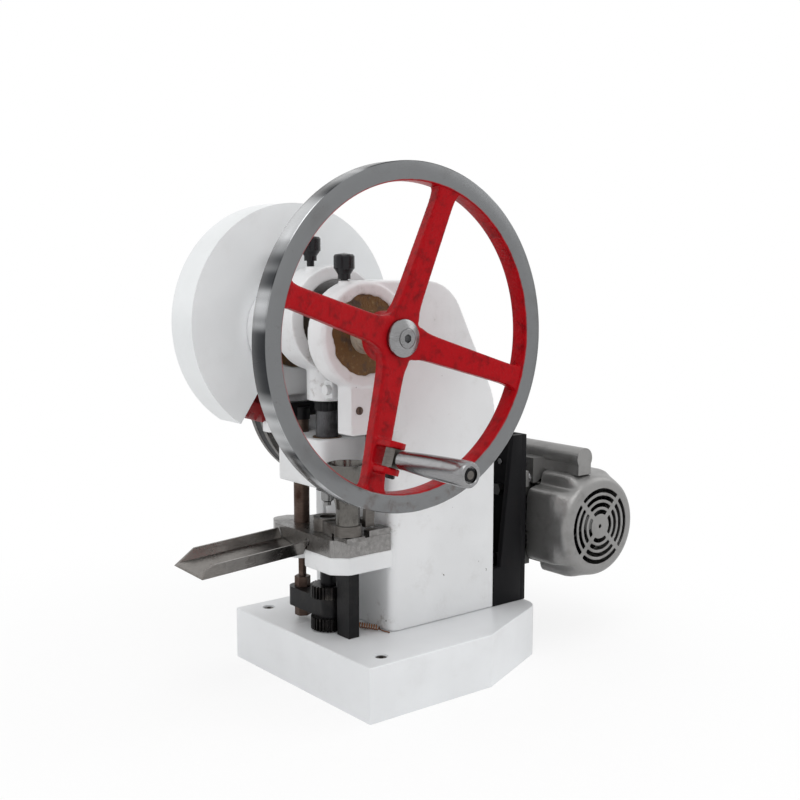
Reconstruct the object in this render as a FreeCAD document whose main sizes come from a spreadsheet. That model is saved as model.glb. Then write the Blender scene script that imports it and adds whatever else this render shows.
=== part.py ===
"""Single-punch tablet press, hand wheel and motor driven, as a parametric FreeCAD document.

Frame: X = 0 and Y = 0 at the ram, +X towards the handwheel, -Y towards the discharge chute,
Z = 0 under the base, +Z up. Lengths are in millimetres, angles in degrees.
"""
import FreeCAD, Part
import math
import os
import re
import Sketcher

V = FreeCAD.Vector

SIZES = {
    # base and frame casting
    "base_half_w": 133, "base_front": -42, "base_side_end": 128, "base_rear": 252,
    "base_rear_half_w": 80, "base_h": 60, "base_edge": 1, "foot_hole_x": 110, "foot_hole_y": -10,
    "foot_hole_rad": 6.5, "foot_sink": 1,
    "col_left": -74, "col_right": 58, "col_front": 45, "col_rear": 200, "col_top": 451,
    "col_top_end": 129, "col_back_z": 312, "col_corner": 10,
    "side_box_left": -90, "side_box_top": 255,
    "pocket_left": -57, "pocket_right": 45, "pocket_rear": 76, "pocket_floor": 302,
    "head_left": -70, "head_right": 22, "head_front": -24.5, "head_low": 226, "head_top": 280,
    "shelf_low": 135, "shelf_top": 155, "shelf_right": 58, "shelf_front": -28,
    # main shaft and bearings
    "shaft_z": 396, "shaft_rad": 20, "seat_rad": 17, "throw": 14, "journal_off": 7, "journal_rad": 28,
    "ring_rad": 57, "ring_bore": 43, "arm_right_in": 46, "arm_right_out": 72, "arm_left_in": -58,
    "arm_front": -31, "arm_foot_low": 290, "arm_foot_top": 302, "arm_top": 452, "cup_y": -18,
    "cup_boss": 6.2,
    "fit": 0.05, "slack": 0.3, "wall": 2,
    # strap, ram and tooling
    "strap_half": 20, "strap_rad": 58, "neck_rad": 22, "neck_low": 321, "strap_cup_z": 467, "screw_rad": 8,
    "nut_low": 309, "ram_rad": 12.5, "ram_low": 220, "ram_bush_rad": 16,
    "punch_shank_rad": 7, "punch_shank_low": 208, "punch_rad": 4, "punch_low": 202.2,
    "plate_top": 174, "die_rad": 15,
    # cams
    "feed_cam_x": 26, "feed_cam_w": 12, "feed_cam_base": 24, "feed_cam_lobe": 28.5,
    "lift_cam_x": -56, "lift_cam_w": 10, "lift_cam_base": 22, "lift_cam_lobe": 30,
    # handwheel and crank
    "wheel_rad": 175, "wheel_rim": 19.5, "rim_x": 130.3, "rim_w": 22.7, "hub_x": 98, "hub_lip": 3,
    "hub_rad": 26, "spoke_x": 124, "spoke_w": 14, "spoke_dish": 12, "spoke_root": 13.5, "spoke_tip": 10,
    "spoke_turn": -18, "cap_rad": 16.5, "cap_h": 13, "crank_at": 120, "crank_pivot_x": 167, "fork_gap": 13,
    "lug_t": 7, "lug_half": 9, "pin_rad": 3, "spindle_rad": 4, "grip_start": 179, "grip_len": 100,
    "grip_rad": 12.5,
    "grip_neck": 5.5,
    # gears and drive
    "tooth": 3.5, "gear_teeth": 62, "pinion_teeth": 14, "gear_x": -109, "gear_w": 24,
    "counter_y": 107.6, "counter_z": 317.8, "counter_rad": 12, "counter_x": -150, "counter_end": -2,
    "pulley_rad": 119, "pulley_x": -150, "pulley_w": 26, "belt_depth": 11, "belt_w": 12,
    "guard_rad": 135, "guard_y": 10, "guard_z": 403, "guard_x": -120, "guard_open": 124, "guard_close": 15,
    # motor
    "motor_y": 331, "motor_z": 149, "motor_rad": 57, "fin_rad": 62, "motor_front": 42, "motor_rear": -75,
    "cover_end": 109, "cover_rad": 61, "cover_t": 2, "bulge_half": 35, "bulge_top": 63, "bulge_side": 58,
    "bulge_side_half": 45, "slot_half": 2.4, "slot_step": 8.8, "slot_first": 18, "foot_at": 44,
    "foot_w": 26,
    "capacitor_y": -16, "capacitor_z": 84, "capacitor_rad": 13, "capacitor_start": -20, "capacitor_end": 96,
    "box_top": 80, "motor_shield_x": -108, "rotor_rad": 9, "motor_pulley_rad": 33,
    "motor_pulley_x": -148, "motor_pulley_w": 22, "bracket_y": 245, "bracket_t": 8, "bracket_top": 265,
    "bracket_left": -62,
    # lower group
    "lift_x": -52, "lift_rad": 9, "lift_tail_rad": 4.5, "lift_top": 300, "loop_half": 31.5, "loop_bar": 7,
    "yoke_gap": 16, "yoke_h": 22, "yoke_left": -68, "yoke_right": 16, "yoke_half": 13,
    "low_gear_rad": 20, "low_gear_h": 14,
    # feed shoe and lever
    "shoe_x": 52, "shoe_y": -10, "shoe_arm": 11, "foot_rad": 16, "foot_bore": 11, "foot_h": 15.5,
    "funnel_low": 187,
    "funnel_top": 258, "funnel_small": 13, "funnel_large": 22.5, "funnel_wall": 1.5,
    "lever_x": 39.5, "lever_t": 5.5, "lever_y": 37, "lever_half": 6, "lever_pivot_z": 436, "lever_low": 190,
    "toe_y": 8, "lever_lean": 12,
    # chute
    "chute_t": 2.5, "chute_root_z": 155, "chute_len": 136, "chute_slope": 3.4, "chute_left": -59.5,
    "far_rise": 15,
    "chute_fold": -53, "fold_rise": 2.4, "chute_low": -8, "floor_drop": 6, "chute_right": 3,
    "near_rise": 11,
    "tip_skew": 9, "tip_rake": 30,
}

doc = FreeCAD.newDocument("tablet_press")
sheet = doc.addObject("Spreadsheet::Sheet", "Sizes")
for row, (alias, value) in enumerate(SIZES.items(), start=1):
    sheet.set(f"A{row}", alias)
    sheet.set(f"B{row}", str(value))
    sheet.setAlias(f"B{row}", alias)
doc.recompute()

NODES = []
CUP_X = ("arm_right_in + 13", "arm_left_in - 4.9")
FOOT_X = ("-48", "8")
AXES = {
    "X": FreeCAD.Rotation(V(0, 1, 0), 90),
    "Y": FreeCAD.Rotation(V(1, 0, 0), -90),
    "Z": FreeCAD.Rotation(),
}


def bind(text):
    """Turn plain alias words into references to the sheet."""
    return re.sub(r"[A-Za-z_]\w*", lambda m: "Sizes." + m[0] if m[0] in SIZES else m[0], str(text))


def num(text):
    """The number that an expression on the sheet gives now."""
    return float(sheet.evalExpression(bind(text)))


def at(item, x, y, z):
    """Bind the place of an object to the sheet."""
    for axis, text in zip("xyz", (x, y, z)):
        item.setExpression(f"Placement.Base.{axis}", bind(text))
    return item


def box(x0, x1, y0, y1, z0, z1):
    """A block between six faces."""
    item = doc.addObject("Part::Box", "Block")
    item.setExpression("Length", bind(f"({x1}) - ({x0})"))
    item.setExpression("Width", bind(f"({y1}) - ({y0})"))
    item.setExpression("Height", bind(f"({z1}) - ({z0})"))
    return at(item, x0, y0, z0)


def rod(axis, start, end, radius, across=("0", "0")):
    """A cylinder along an axis; across holds its other two coordinates, in X, Y, Z order."""
    item = doc.addObject("Part::Cylinder", "Rod")
    item.setExpression("Radius", bind(radius))
    item.setExpression("Height", bind(f"({end}) - ({start})"))
    item.Placement = FreeCAD.Placement(V(), AXES[axis])
    place = list(across)
    place.insert("XYZ".index(axis), start)
    return at(item, *place)


def nut(axis, start, end, across_flats, across=("0", "0")):
    """A hexagonal prism along an axis."""
    item = doc.addObject("Part::Prism", "Hex")
    item.Polygon = 6
    item.setExpression("Circumradius", bind(f"({across_flats}) / 1.7320508"))
    item.setExpression("Height", bind(f"({end}) - ({start})"))
    item.Placement = FreeCAD.Placement(V(), AXES[axis])
    place = list(across)
    place.insert("XYZ".index(axis), start)
    return at(item, *place)


def fuse(*items):
    """One solid from several that touch."""
    item = doc.addObject("Part::MultiFuse", "Joined")
    item.Shapes = list(items)
    item.Refine = True
    return item


def cut(base, *tools):
    """A solid less its tools."""
    item = doc.addObject("Part::Cut", "Cut")
    item.Base = base
    item.Tool = tools[0] if len(tools) == 1 else fuse(*tools)
    item.Refine = True
    return item


def turn(item, axis, degrees, centre):
    """Rotate a finished object about an axis through a centre given on the sheet."""
    holder = doc.addObject("Part::Compound", "Turned")
    holder.Links = [item]
    doc.recompute()
    spin = FreeCAD.Rotation(V(*[float(a == axis) for a in "XYZ"]), degrees)
    mid = V(*[num(c) for c in centre])
    holder.Placement = FreeCAD.Placement(mid - spin.multVec(mid), spin)
    return holder


def outline(body, plane, corners, offset):
    """A closed sketch on one of a body's planes. Each corner is x, y and perhaps a fillet radius."""
    sketch = body.newObject("Sketcher::SketchObject", "Outline")
    origin_plane = [o for o in body.Origin.OriginFeatures if o.Role == plane + "_Plane"][0]
    sketch.AttachmentSupport = [(origin_plane, "")]
    sketch.MapMode = "FlatFace"
    sketch.setExpression("AttachmentOffset.Base.z", bind(offset))
    points = [V(num(c[0]), num(c[1]), 0) for c in corners]
    count = len(points)
    ends = []
    for i, corner in enumerate(corners):
        if len(corner) < 3:
            ends.append((points[i], points[i], None, 0))
            continue
        radius = num(corner[2])
        back = (points[i - 1] - points[i]).normalize()
        ahead = (points[(i + 1) % count] - points[i]).normalize()
        half = back.getAngle(ahead) / 2
        middle = points[i] + (back + ahead).normalize() * (radius / math.sin(half))
        reach = radius / math.tan(half)
        ends.append((points[i] + back * reach, points[i] + ahead * reach, middle, radius))
    lines = []
    for i in range(count):
        lines.append(sketch.addGeometry(Part.LineSegment(ends[i][1], ends[(i + 1) % count][0]), False))

    def limit(*parts):
        return sketch.addConstraint(Sketcher.Constraint(*parts))

    for i, corner in enumerate(corners):
        before, after = lines[i - 1], lines[i]
        start, finish, middle, radius = ends[i]
        if middle is None:
            limit("Coincident", before, 2, after, 1)
            holder, spot = after, 1
        else:
            holder, spot = sketch.addGeometry(Part.Point(points[i]), True), 1
        at_x = limit("DistanceX", -1, 1, holder, spot, points[i].x)
        at_y = limit("DistanceY", -1, 1, holder, spot, points[i].y)
        sketch.setExpression(f"Constraints[{at_x}]", bind(corner[0]))
        sketch.setExpression(f"Constraints[{at_y}]", bind(corner[1]))
        if middle is None:
            continue
        first = math.atan2(start.y - middle.y, start.x - middle.x)
        last = math.atan2(finish.y - middle.y, finish.x - middle.x)
        forward = (last - first) % (2 * math.pi) < math.pi
        begin, stop = (first, last) if forward else (last, first)
        circle = Part.Circle(middle, V(0, 0, 1), radius)
        arc = sketch.addGeometry(Part.ArcOfCircle(circle, begin, stop), False)
        limit("PointOnObject", holder, 1, before)
        limit("PointOnObject", holder, 1, after)
        limit("Tangent", before, 2, arc, 1 if forward else 2)
        limit("Tangent", arc, 2 if forward else 1, after, 1)
        size = limit("Radius", arc, radius)
        sketch.setExpression(f"Constraints[{size}]", bind(corner[2]))
    return sketch


def pad(plane, corners, low, high):
    """A body with one outline padded between two places along its plane's normal."""
    body = doc.addObject("PartDesign::Body", "Body")
    offset = f"-({high})" if plane == "XZ" else low
    sketch = outline(body, plane, corners, offset)
    feature = body.newObject("PartDesign::Pad", "Pad")
    feature.Profile = sketch
    feature.setExpression("Length", bind(f"({high}) - ({low})"))
    sketch.Visibility = False
    return body


def revolve(corners, place=("0", "0", "0"), axis="Z"):
    """A body turned from an outline of radius and height about an axis."""
    body = doc.addObject("PartDesign::Body", "Turning")
    sketch = outline(body, "XZ", corners, "0")
    feature = body.newObject("PartDesign::Revolution", "Revolution")
    feature.Profile = sketch
    feature.ReferenceAxis = (sketch, ["V_Axis"])
    feature.Angle = 360
    body.Placement = FreeCAD.Placement(V(), AXES[axis])
    return at(body, *place)


def node(name, item):
    """Name a finished sub-part; its label is its file's name."""
    item.Label = name
    NODES.append(item)
    return item


def coded(name, shape, place=("0", "0", "0")):
    """A sub-part whose shape is worked out in code from the sheet."""
    item = doc.addObject("Part::Feature", name)
    item.Shape = shape
    at(item, *place)
    return item


def group(*items):
    """Separate solids of one kind kept in one node."""
    item = doc.addObject("Part::Compound", "Set")
    item.Links = list(items)
    return item


# ---------------------------------------------------------------- castings

def make_base():
    """The white pedestal with its two front foot holes."""
    front, side, rear = "2", "4", "25"
    corners = [
        ("-base_half_w", "base_front", front), ("base_half_w", "base_front", front),
        ("base_half_w", "base_side_end", side), ("base_rear_half_w", "base_rear", rear),
        ("-base_rear_half_w", "base_rear", rear), ("-base_half_w", "base_side_end", side),
    ]
    body = pad("XY", corners, "0", "base_h")
    doc.recompute()
    solid = body.Group[-1]
    top = [f"Edge{i + 1}" for i, e in enumerate(solid.Shape.Edges)
           if abs(e.CenterOfMass.z - num("base_h")) < 0.01]
    edge = body.newObject("PartDesign::Chamfer", "TopEdge")
    edge.Base = (solid, top)
    edge.setExpression("Size", bind("base_edge"))
    body.Tip = edge
    tools = []
    for x in ("foot_hole_x", "-foot_hole_x"):
        spot = (x, "foot_hole_y")
        tools.append(rod("Z", "-1", "base_h + 1", "foot_hole_rad", spot))
        tools.append(rod("Z", "base_h - foot_sink", "base_h + 1", "foot_hole_rad + foot_sink", spot))
    return node("base_casting", cut(body, *tools))


def arm(low, high, foot, ledge):
    """One bearing arm: a plate with a hollow front edge under a bearing ring."""
    plate = [
        ("col_front + 1", foot), ("arm_front - 7", foot), ("arm_front - 7", f"({foot}) + ({ledge})"),
        ("arm_front", f"({foot}) + ({ledge})"), ("arm_front - 10", "shaft_z - 62", "30"),
        ("arm_front - 19", "shaft_z - 22"), ("0", "shaft_z"), ("0", "arm_top"),
        ("col_front + 1", "arm_top"),
    ]
    return [pad("YZ", plate, low, high), rod("X", low, high, "ring_rad", ("0", "shaft_z"))]


def make_frame():
    """The white casting: column, bearing arms, ram head and die shelf in one piece."""
    side = [
        ("col_front", "base_h"), ("col_rear", "base_h"), ("col_rear", "col_back_z", "80"),
        ("col_top_end", "col_top", "55"), ("col_front", "col_top"),
    ]
    column = pad("YZ", side, "col_left", "col_right")
    doc.recompute()
    solid = column.Group[-1]
    upright = [f"Edge{i + 1}" for i, e in enumerate(solid.Shape.Edges)
               if abs(e.CenterOfMass.y - num("col_front")) < 0.01 and e.BoundBox.ZLength > 100]
    corner = column.newObject("PartDesign::Fillet", "FrontCorners")
    corner.Base = (solid, upright)
    corner.setExpression("Radius", bind("col_corner"))
    column.Tip = corner
    side_box = box("side_box_left", "col_left + 1", "col_front", "col_rear", "base_h", "side_box_top")
    head = pad("XY", [
        ("head_left", "col_front + 1"), ("head_left", "head_front", "14"),
        ("head_right", "head_front", "10"), ("head_right", "col_front + 1"),
    ], "head_low", "head_top")
    shelf = pad("XY", [
        ("col_left", "col_front + 1"), ("col_left", "30"), ("lift_x - 6", "30"),
        ("head_right - 28", "shelf_front", "6"), ("shelf_right - 15", "shelf_front", "4"),
        ("shelf_right", "shelf_front + 16", "4"), ("shelf_right", "col_front + 1"),
    ], "shelf_low", "shelf_top")
    boss = rod("Z", "shelf_low", "shelf_top", "20", ("lift_x", "0"))
    arms = arm("arm_right_in", "arm_right_out", "arm_foot_low", "arm_foot_top - arm_foot_low")
    arms += arm("col_left", "arm_left_in", "head_top", "12")
    cup_seats = [rod("Z", "shaft_z + ring_rad - 12", "arm_top + 1", "cup_boss",
                     (x, "cup_y")) for x in CUP_X]
    solid = fuse(column, side_box, head, shelf, boss, *arms, *cup_seats)
    bores = [
        box("pocket_left", "pocket_right", "col_front - 1", "pocket_rear", "pocket_floor", "col_top + 1"),
        rod("X", "col_left - 1", "arm_right_out + 1", "ring_bore", ("0", "shaft_z")),
        rod("Z", "head_low - 1", "head_top + 1", "ram_bush_rad"),
        rod("Z", "shelf_low - 1", "head_top + 1", "lift_rad + slack", ("lift_x", "0")),
        box("arm_left_in - 6", "arm_left_in + 1", "-13", "13", "head_top", "lift_top + 20"),
        rod("Z", "shelf_low - 1", "shelf_top + 1", "lift_rad + slack"),
        rod("X", "col_left - 17", "counter_end", "counter_rad + 5", ("counter_y", "counter_z")),
    ]
    return node("frame_casting", cut(solid, *bores))


def sleeve(axis, start, end, outer, inner, across=("0", "0")):
    """A plain ring or bush."""
    return cut(rod(axis, start, end, outer, across),
               rod(axis, f"({start}) - 1", f"({end}) + 1", inner, across))


def make_bushes():
    """Bronze bushes of the main shaft, the ram and the countershaft."""
    centre = ("0", "shaft_z")
    node("main_bearing_bushes", group(
        sleeve("X", "arm_right_in", "arm_right_out", "ring_bore", "shaft_rad + fit", centre),
        sleeve("X", "col_left", "arm_left_in", "ring_bore", "shaft_rad + fit", centre)))
    node("ram_guide_bush", sleeve("Z", "head_low", "head_top", "ram_bush_rad", "ram_rad + fit"))
    axle = ("counter_y", "counter_z")
    node("countershaft_bushes", group(
        sleeve("X", "col_left", "col_left + 24", "counter_rad + 5", "counter_rad + fit", axle),
        sleeve("X", "counter_end - 24", "counter_end", "counter_rad + 5", "counter_rad + fit", axle)))


def oil_cup(x, y, z):
    """A black oil cup with a tapered neck and a round lid."""
    return revolve([
        ("0", "0"), ("4", "0"), ("4", "6"), ("6.75", "6"), ("6.75", "11"), ("10", "16"), ("11", "17"),
        ("11", "29.5"), ("9.5", "31.5"), ("0", "33"),
    ], (x, y, z))


# ---------------------------------------------------------------- main shaft

def make_main_shaft():
    """The crankshaft with its eccentric journal and two stepped seats."""
    line = ("0", "shaft_z")
    left = rod("X", "gear_x - 9", "gear_x + gear_w + 5", "seat_rad", line)
    middle = rod("X", "gear_x + gear_w + 4", "arm_right_out + 6", "shaft_rad", line)
    right = rod("X", "arm_right_out + 5", "spoke_x + spoke_w + hub_lip - 1", "seat_rad", line)
    journal = rod("X", "-strap_half", "strap_half", "journal_rad", ("0", "shaft_z + journal_off"))
    node("main_shaft", fuse(left, middle, right, journal))


def make_eccentric():
    """The adjustable sleeve whose own offset adds to the journal's."""
    outer = rod("X", "-strap_half + 1", "strap_half - 1", "ring_bore - fit", ("0", "shaft_z + throw"))
    inner = rod("X", "-strap_half", "strap_half", "journal_rad + fit", ("0", "shaft_z + journal_off"))
    node("eccentric_sleeve", cut(outer, inner))


def cam(start, width, base, lobe, bore, lift_angle):
    """A disc cam: a base circle, a lobe circle and the two flanks between them."""
    centre = ("0", "shaft_z")
    disc = rod("X", start, f"({start}) + ({width})", base, centre)
    nose_rad = f"({base}) * 0.6"
    nose = rod("X", start, f"({start}) + ({width})", nose_rad, ("0", f"shaft_z + ({lobe}) - {nose_rad}"))
    half = f"({base}) * 0.6"
    flank = box(start, f"({start}) + ({width})", f"-{half}", half, "shaft_z",
                f"shaft_z + ({lobe}) - {nose_rad}")
    solid = cut(fuse(disc, nose, flank), rod("X", f"({start}) - 1", f"({start}) + ({width}) + 1", bore,
                                             centre))
    return turn(solid, "X", lift_angle, ("0", "0", "shaft_z")) if lift_angle else solid


def make_cams():
    """The cam that swings the feed shoe and the cam that lifts the lower punch."""
    node("feed_cam", cam("feed_cam_x", "feed_cam_w", "feed_cam_base", "feed_cam_lobe", "shaft_rad + fit",
                         180))
    node("lift_cam", cam("lift_cam_x", "lift_cam_w", "lift_cam_base", "lift_cam_lobe", "shaft_rad + fit",
                         0))


def gear_wheel(teeth, start, width, bore, bore_web=None):
    """A spur gear along X, thinned a little at the pitch line, with its bore open."""
    module = num("tooth")
    pitch = module * teeth / 2
    tip, root = pitch + module * 0.95, pitch - module * 1.2
    step = 2 * math.pi / teeth
    half_root, half_tip = step * 0.30, step * 0.115
    points = []
    for i in range(teeth):
        middle = i * step
        for angle, radius in ((-half_root, root), (-half_tip, tip), (half_tip, tip), (half_root, root)):
            points.append(V(0, radius * math.cos(middle + angle), radius * math.sin(middle + angle)))
    face = Part.Face(Part.makePolygon(points + [points[0]]))
    disc = face.extrude(V(width, 0, 0))
    disc.translate(V(start, 0, 0))
    disc = disc.cut(Part.makeCylinder(bore, width + 2, V(start - 1, 0, 0), V(1, 0, 0)))
    if bore_web:
        hub, rim, depth = bore_web
        for face_x in (start - 1, start + width - depth):
            ring = Part.makeCylinder(rim, depth + 1, V(face_x, 0, 0), V(1, 0, 0))
            core = Part.makeCylinder(hub, depth + 1, V(face_x, 0, 0), V(1, 0, 0))
            disc = disc.cut(ring.cut(core))
    return disc


def make_gears():
    """The red main gear, webbed between hub and rim, and its pinion, meshing tooth in gap."""
    big = gear_wheel(int(num("gear_teeth")), num("gear_x"), num("gear_w"), num("seat_rad + fit"),
                     (num("seat_rad + 14"), num("tooth * gear_teeth / 2 - 16"), num("gear_w / 2 - 5")))
    toward = math.degrees(math.atan2(num("counter_z - shaft_z"), num("counter_y")))
    big.rotate(V(), V(1, 0, 0), toward)
    node("main_gear", coded("main_gear", big, ("0", "0", "shaft_z")))
    teeth = int(num("pinion_teeth"))
    small = gear_wheel(teeth, num("gear_x - 2"), num("gear_w + 4"), num("counter_rad + fit"))
    small.rotate(V(), V(1, 0, 0), toward + 180 + 180 / teeth)
    node("drive_pinion", coded("drive_pinion", small, ("0", "counter_y", "counter_z")))
    node("gear_nut", cut(nut("X", "gear_x - 8.5", "gear_x - 0.1", "38", ("0", "shaft_z")),
                         rod("X", "gear_x - 10", "gear_x + 1", "seat_rad + fit", ("0", "shaft_z"))))


def spoke():
    """One spoke: it narrows outwards and leans forward, so that the wheel is dished."""
    inner, outer = "shaft_z + hub_rad - 4", "shaft_z + wheel_rad - wheel_rim + 2"
    face = pad("YZ", [
        ("-spoke_root", inner), ("spoke_root", inner), ("spoke_tip", outer), ("-spoke_tip", outer),
    ], "spoke_x - 1", "spoke_x + spoke_w + spoke_dish + 1")
    side = pad("XZ", [
        ("spoke_x", inner), ("spoke_x + spoke_w", inner), ("spoke_x + spoke_w + spoke_dish", outer),
        ("spoke_x + spoke_dish", outer),
    ], "-spoke_root - 1", "spoke_root + 1")
    blade = doc.addObject("Part::Common", "Blade")
    blade.Base, blade.Tool = face, side
    return blade


def on_crank_spoke(item):
    """Carry what was made on the vertical spoke round to the spoke that holds the crank."""
    return turn(item, "X", num("spoke_turn") + 180, ("0", "0", "shaft_z"))


def make_handwheel():
    """The spoked wheel with its hub, and the domed cap nut that holds it."""
    centre = ("0", "shaft_z")
    front = "spoke_x + spoke_w"
    rim = sleeve("X", "rim_x", "rim_x + rim_w", "wheel_rad", "wheel_rad - wheel_rim", centre)
    hub = rod("X", "hub_x", f"{front} + hub_lip", "hub_rad", centre)
    spokes = [turn(spoke(), "X", num("spoke_turn") + 90 * quarter, ("0", "0", "shaft_z"))
              for quarter in range(4)]
    # two fork lugs stand on the lower spoke, one on each side of the crank's pivot block
    low = "shaft_z + crank_at"
    lugs = [box(f"{front} + hub_lip", "crank_pivot_x + 7", "-lug_half", "lug_half",
                f"{low} + {side} * fork_gap - lug_t / 2", f"{low} + {side} * fork_gap + lug_t / 2")
            for side in (-1, 1)]
    pin_hole = rod("Z", f"{low} - fork_gap - 5", f"{low} + fork_gap + 5", "pin_rad + fit",
                   ("crank_pivot_x", "0"))
    solid = fuse(rim, hub, *spokes, on_crank_spoke(group(*lugs)))
    bore = rod("X", "hub_x - 1", f"{front} + hub_lip + 1", "seat_rad + fit", centre)
    node("handwheel", cut(solid, bore, on_crank_spoke(pin_hole)))
    hex_rad = "cap_rad * 0.3"
    node("wheel_cap_nut", revolve([
        ("0", "0"), ("cap_rad", "0"), ("cap_rad", "4"), ("cap_rad - 1.5", "6"),
        ("cap_rad * 0.55", "cap_h - 0.5"),
        ("cap_rad * 0.5", "cap_h"), (hex_rad, "cap_h"), (hex_rad, "cap_h - 6"), ("0", "cap_h - 6"),
    ], (f"{front} + hub_lip", "0", "shaft_z"), "X"))


def make_crank():
    """The folding crank: a pivot block with its cross pin and spindle, and a swelling grip that turns."""
    low, pivot = "shaft_z + crank_at", "crank_pivot_x"
    arm_start, block = f"{pivot} + 7", "7.5"
    pin = rod("Z", f"{low} - fork_gap - 3.4", f"{low} + fork_gap + 3.4", "pin_rad", (pivot, "0"))
    cube = box(f"{pivot} - {block}", f"{pivot} + {block}", f"-{block}", block,
               f"{low} - fork_gap + lug_t / 2 + slack", f"{low} + fork_gap - lug_t / 2 - slack")
    collar = rod("X", arm_start, "grip_start - slack", "grip_neck", ("0", low))
    spindle = rod("X", pivot, "grip_start + grip_len - 1", "spindle_rad", ("0", low))
    node("crank_spindle", on_crank_spoke(fuse(cube, collar, spindle, pin)))
    bore = "spindle_rad + 0.1"
    grip = revolve([
        (bore, "0"), ("grip_neck", "0"), ("grip_rad - 0.8", "grip_len * 0.38", "60"),
        ("grip_rad", "grip_len - 4"),
        ("grip_rad - 3", "grip_len"), ("grip_rad * 0.6", "grip_len"), ("grip_rad * 0.6", "grip_len - 4"),
        (bore, "grip_len - 4"),
    ], ("grip_start", "0", low), "X")
    node("crank_grip", on_crank_spoke(grip))
    end = revolve([(bore, "0"), ("grip_rad * 0.5", "0"), ("grip_rad * 0.5", "2"), (bore, "2.8")],
                  ("grip_start + grip_len - 4 + slack", "0", low), "X")
    node("crank_end_washer", on_crank_spoke(end))


# ---------------------------------------------------------------- strap, ram and tooling

def make_strap():
    """The eccentric strap with its split neck, its adjusting screw and lock nut, and the ram."""
    eye = ("0", "shaft_z + throw")
    ring = rod("X", "-strap_half", "strap_half", "strap_rad", eye)
    neck = rod("Z", "neck_low", "shaft_z + throw - ring_bore - 3", "neck_rad")
    ear = box("neck_rad - 6", "neck_rad + 8", "-14", "14", "neck_low + 4", "neck_low + 24")
    cup_seat = rod("Z", "shaft_z + throw + strap_rad - 10", "strap_cup_z", "cup_boss", ("0", "cup_y - 2"))
    solid = cut(fuse(ring, neck, ear, cup_seat),
                rod("Y", "-15", "13.1", "3 + fit", ("neck_rad + 2.5", "neck_low + 14")),
                rod("X", "-strap_half - 9", "strap_half + 9", "ring_bore", eye),
                rod("Z", "neck_low - 1", "shaft_z + throw", "screw_rad"),
                box("screw_rad - 2", "neck_rad + 9", "-1", "1", "neck_low - 1", "neck_low + 30"))
    node("eccentric_strap", solid)
    node("strap_clamp_screw", fuse(
        rod("Y", "-14.1", "13", "3", ("neck_rad + 2.5", "neck_low + 14")),
        rod("Y", "-20", "-14", "5.5", ("neck_rad + 2.5", "neck_low + 14"))))
    node("adjusting_screw", rod("Z", "nut_low", "shaft_z + throw - ring_bore - 9", "screw_rad"))
    node("ram_lock_nut", revolve([
        ("screw_rad + fit", "nut_low"), ("neck_rad - 3", "nut_low"), ("neck_rad - 1", "nut_low + 2"),
        ("neck_rad - 1", "neck_low - 2.1"), ("neck_rad - 3", "neck_low - 0.1"),
        ("screw_rad + fit", "neck_low - 0.1")]))
    bore = rod("Z", "ram_low - 1", "ram_low + 26", "punch_shank_rad + fit")
    cross = rod("Y", "-ram_rad - 1", "0", "3", ("0", "ram_low + 10"))
    node("ram", cut(rod("Z", "ram_low", "nut_low", "ram_rad"), bore, cross))
    node("upper_punch", revolve([
        ("0", "punch_low"), ("punch_rad", "punch_low"), ("punch_rad", "punch_shank_low - 2"),
        ("punch_shank_rad", "punch_shank_low"), ("punch_shank_rad", "ram_low + 25.9"),
        ("0", "ram_low + 25.9")]))
    node("punch_set_screw", rod("Y", "-ram_rad + 0.3", "-punch_shank_rad - 0.2", "2.95",
                                ("0", "ram_low + 10")))
    node("strap_oil_cup", oil_cup("0", "cup_y - 2", "strap_cup_z"))
    doc.recompute()


def make_die():
    """The die plate on the shelf, the die and its lock screw."""
    plate = pad("XY", [
        ("shelf_right - 1", "col_front - 0.1"), ("lift_x - 22", "col_front - 0.1"), ("lift_x - 22", "26"),
        ("lift_x - 40", "6", "6"), ("lift_x - 40", "-14", "14"), ("lift_x - 16", "-27.5", "10"),
        ("shelf_right - 15", "-27.5", "3"), ("shelf_right - 1", "-12", "3"),
    ], "shelf_top", "plate_top")
    doc.recompute()
    centre = rod("Z", "shelf_top - 1", "plate_top + 1", "die_rad")
    lift = rod("Z", "shelf_top - 1", "plate_top + 1", "lift_rad + slack", ("lift_x", "0"))
    lock = rod("Y", "-30", "-die_rad + 1", "4", ("0", "shelf_top + 9"))
    node("die_plate", cut(plate, centre, lift, lock))
    node("die", sleeve("Z", "shelf_top", "plate_top", "die_rad - fit", "punch_rad + 0.1"))
    node("die_lock_screw", rod("Y", "-27", "-die_rad - 0.4", "3.95", ("0", "shelf_top + 9")))


# ---------------------------------------------------------------- lower punch lift

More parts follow.
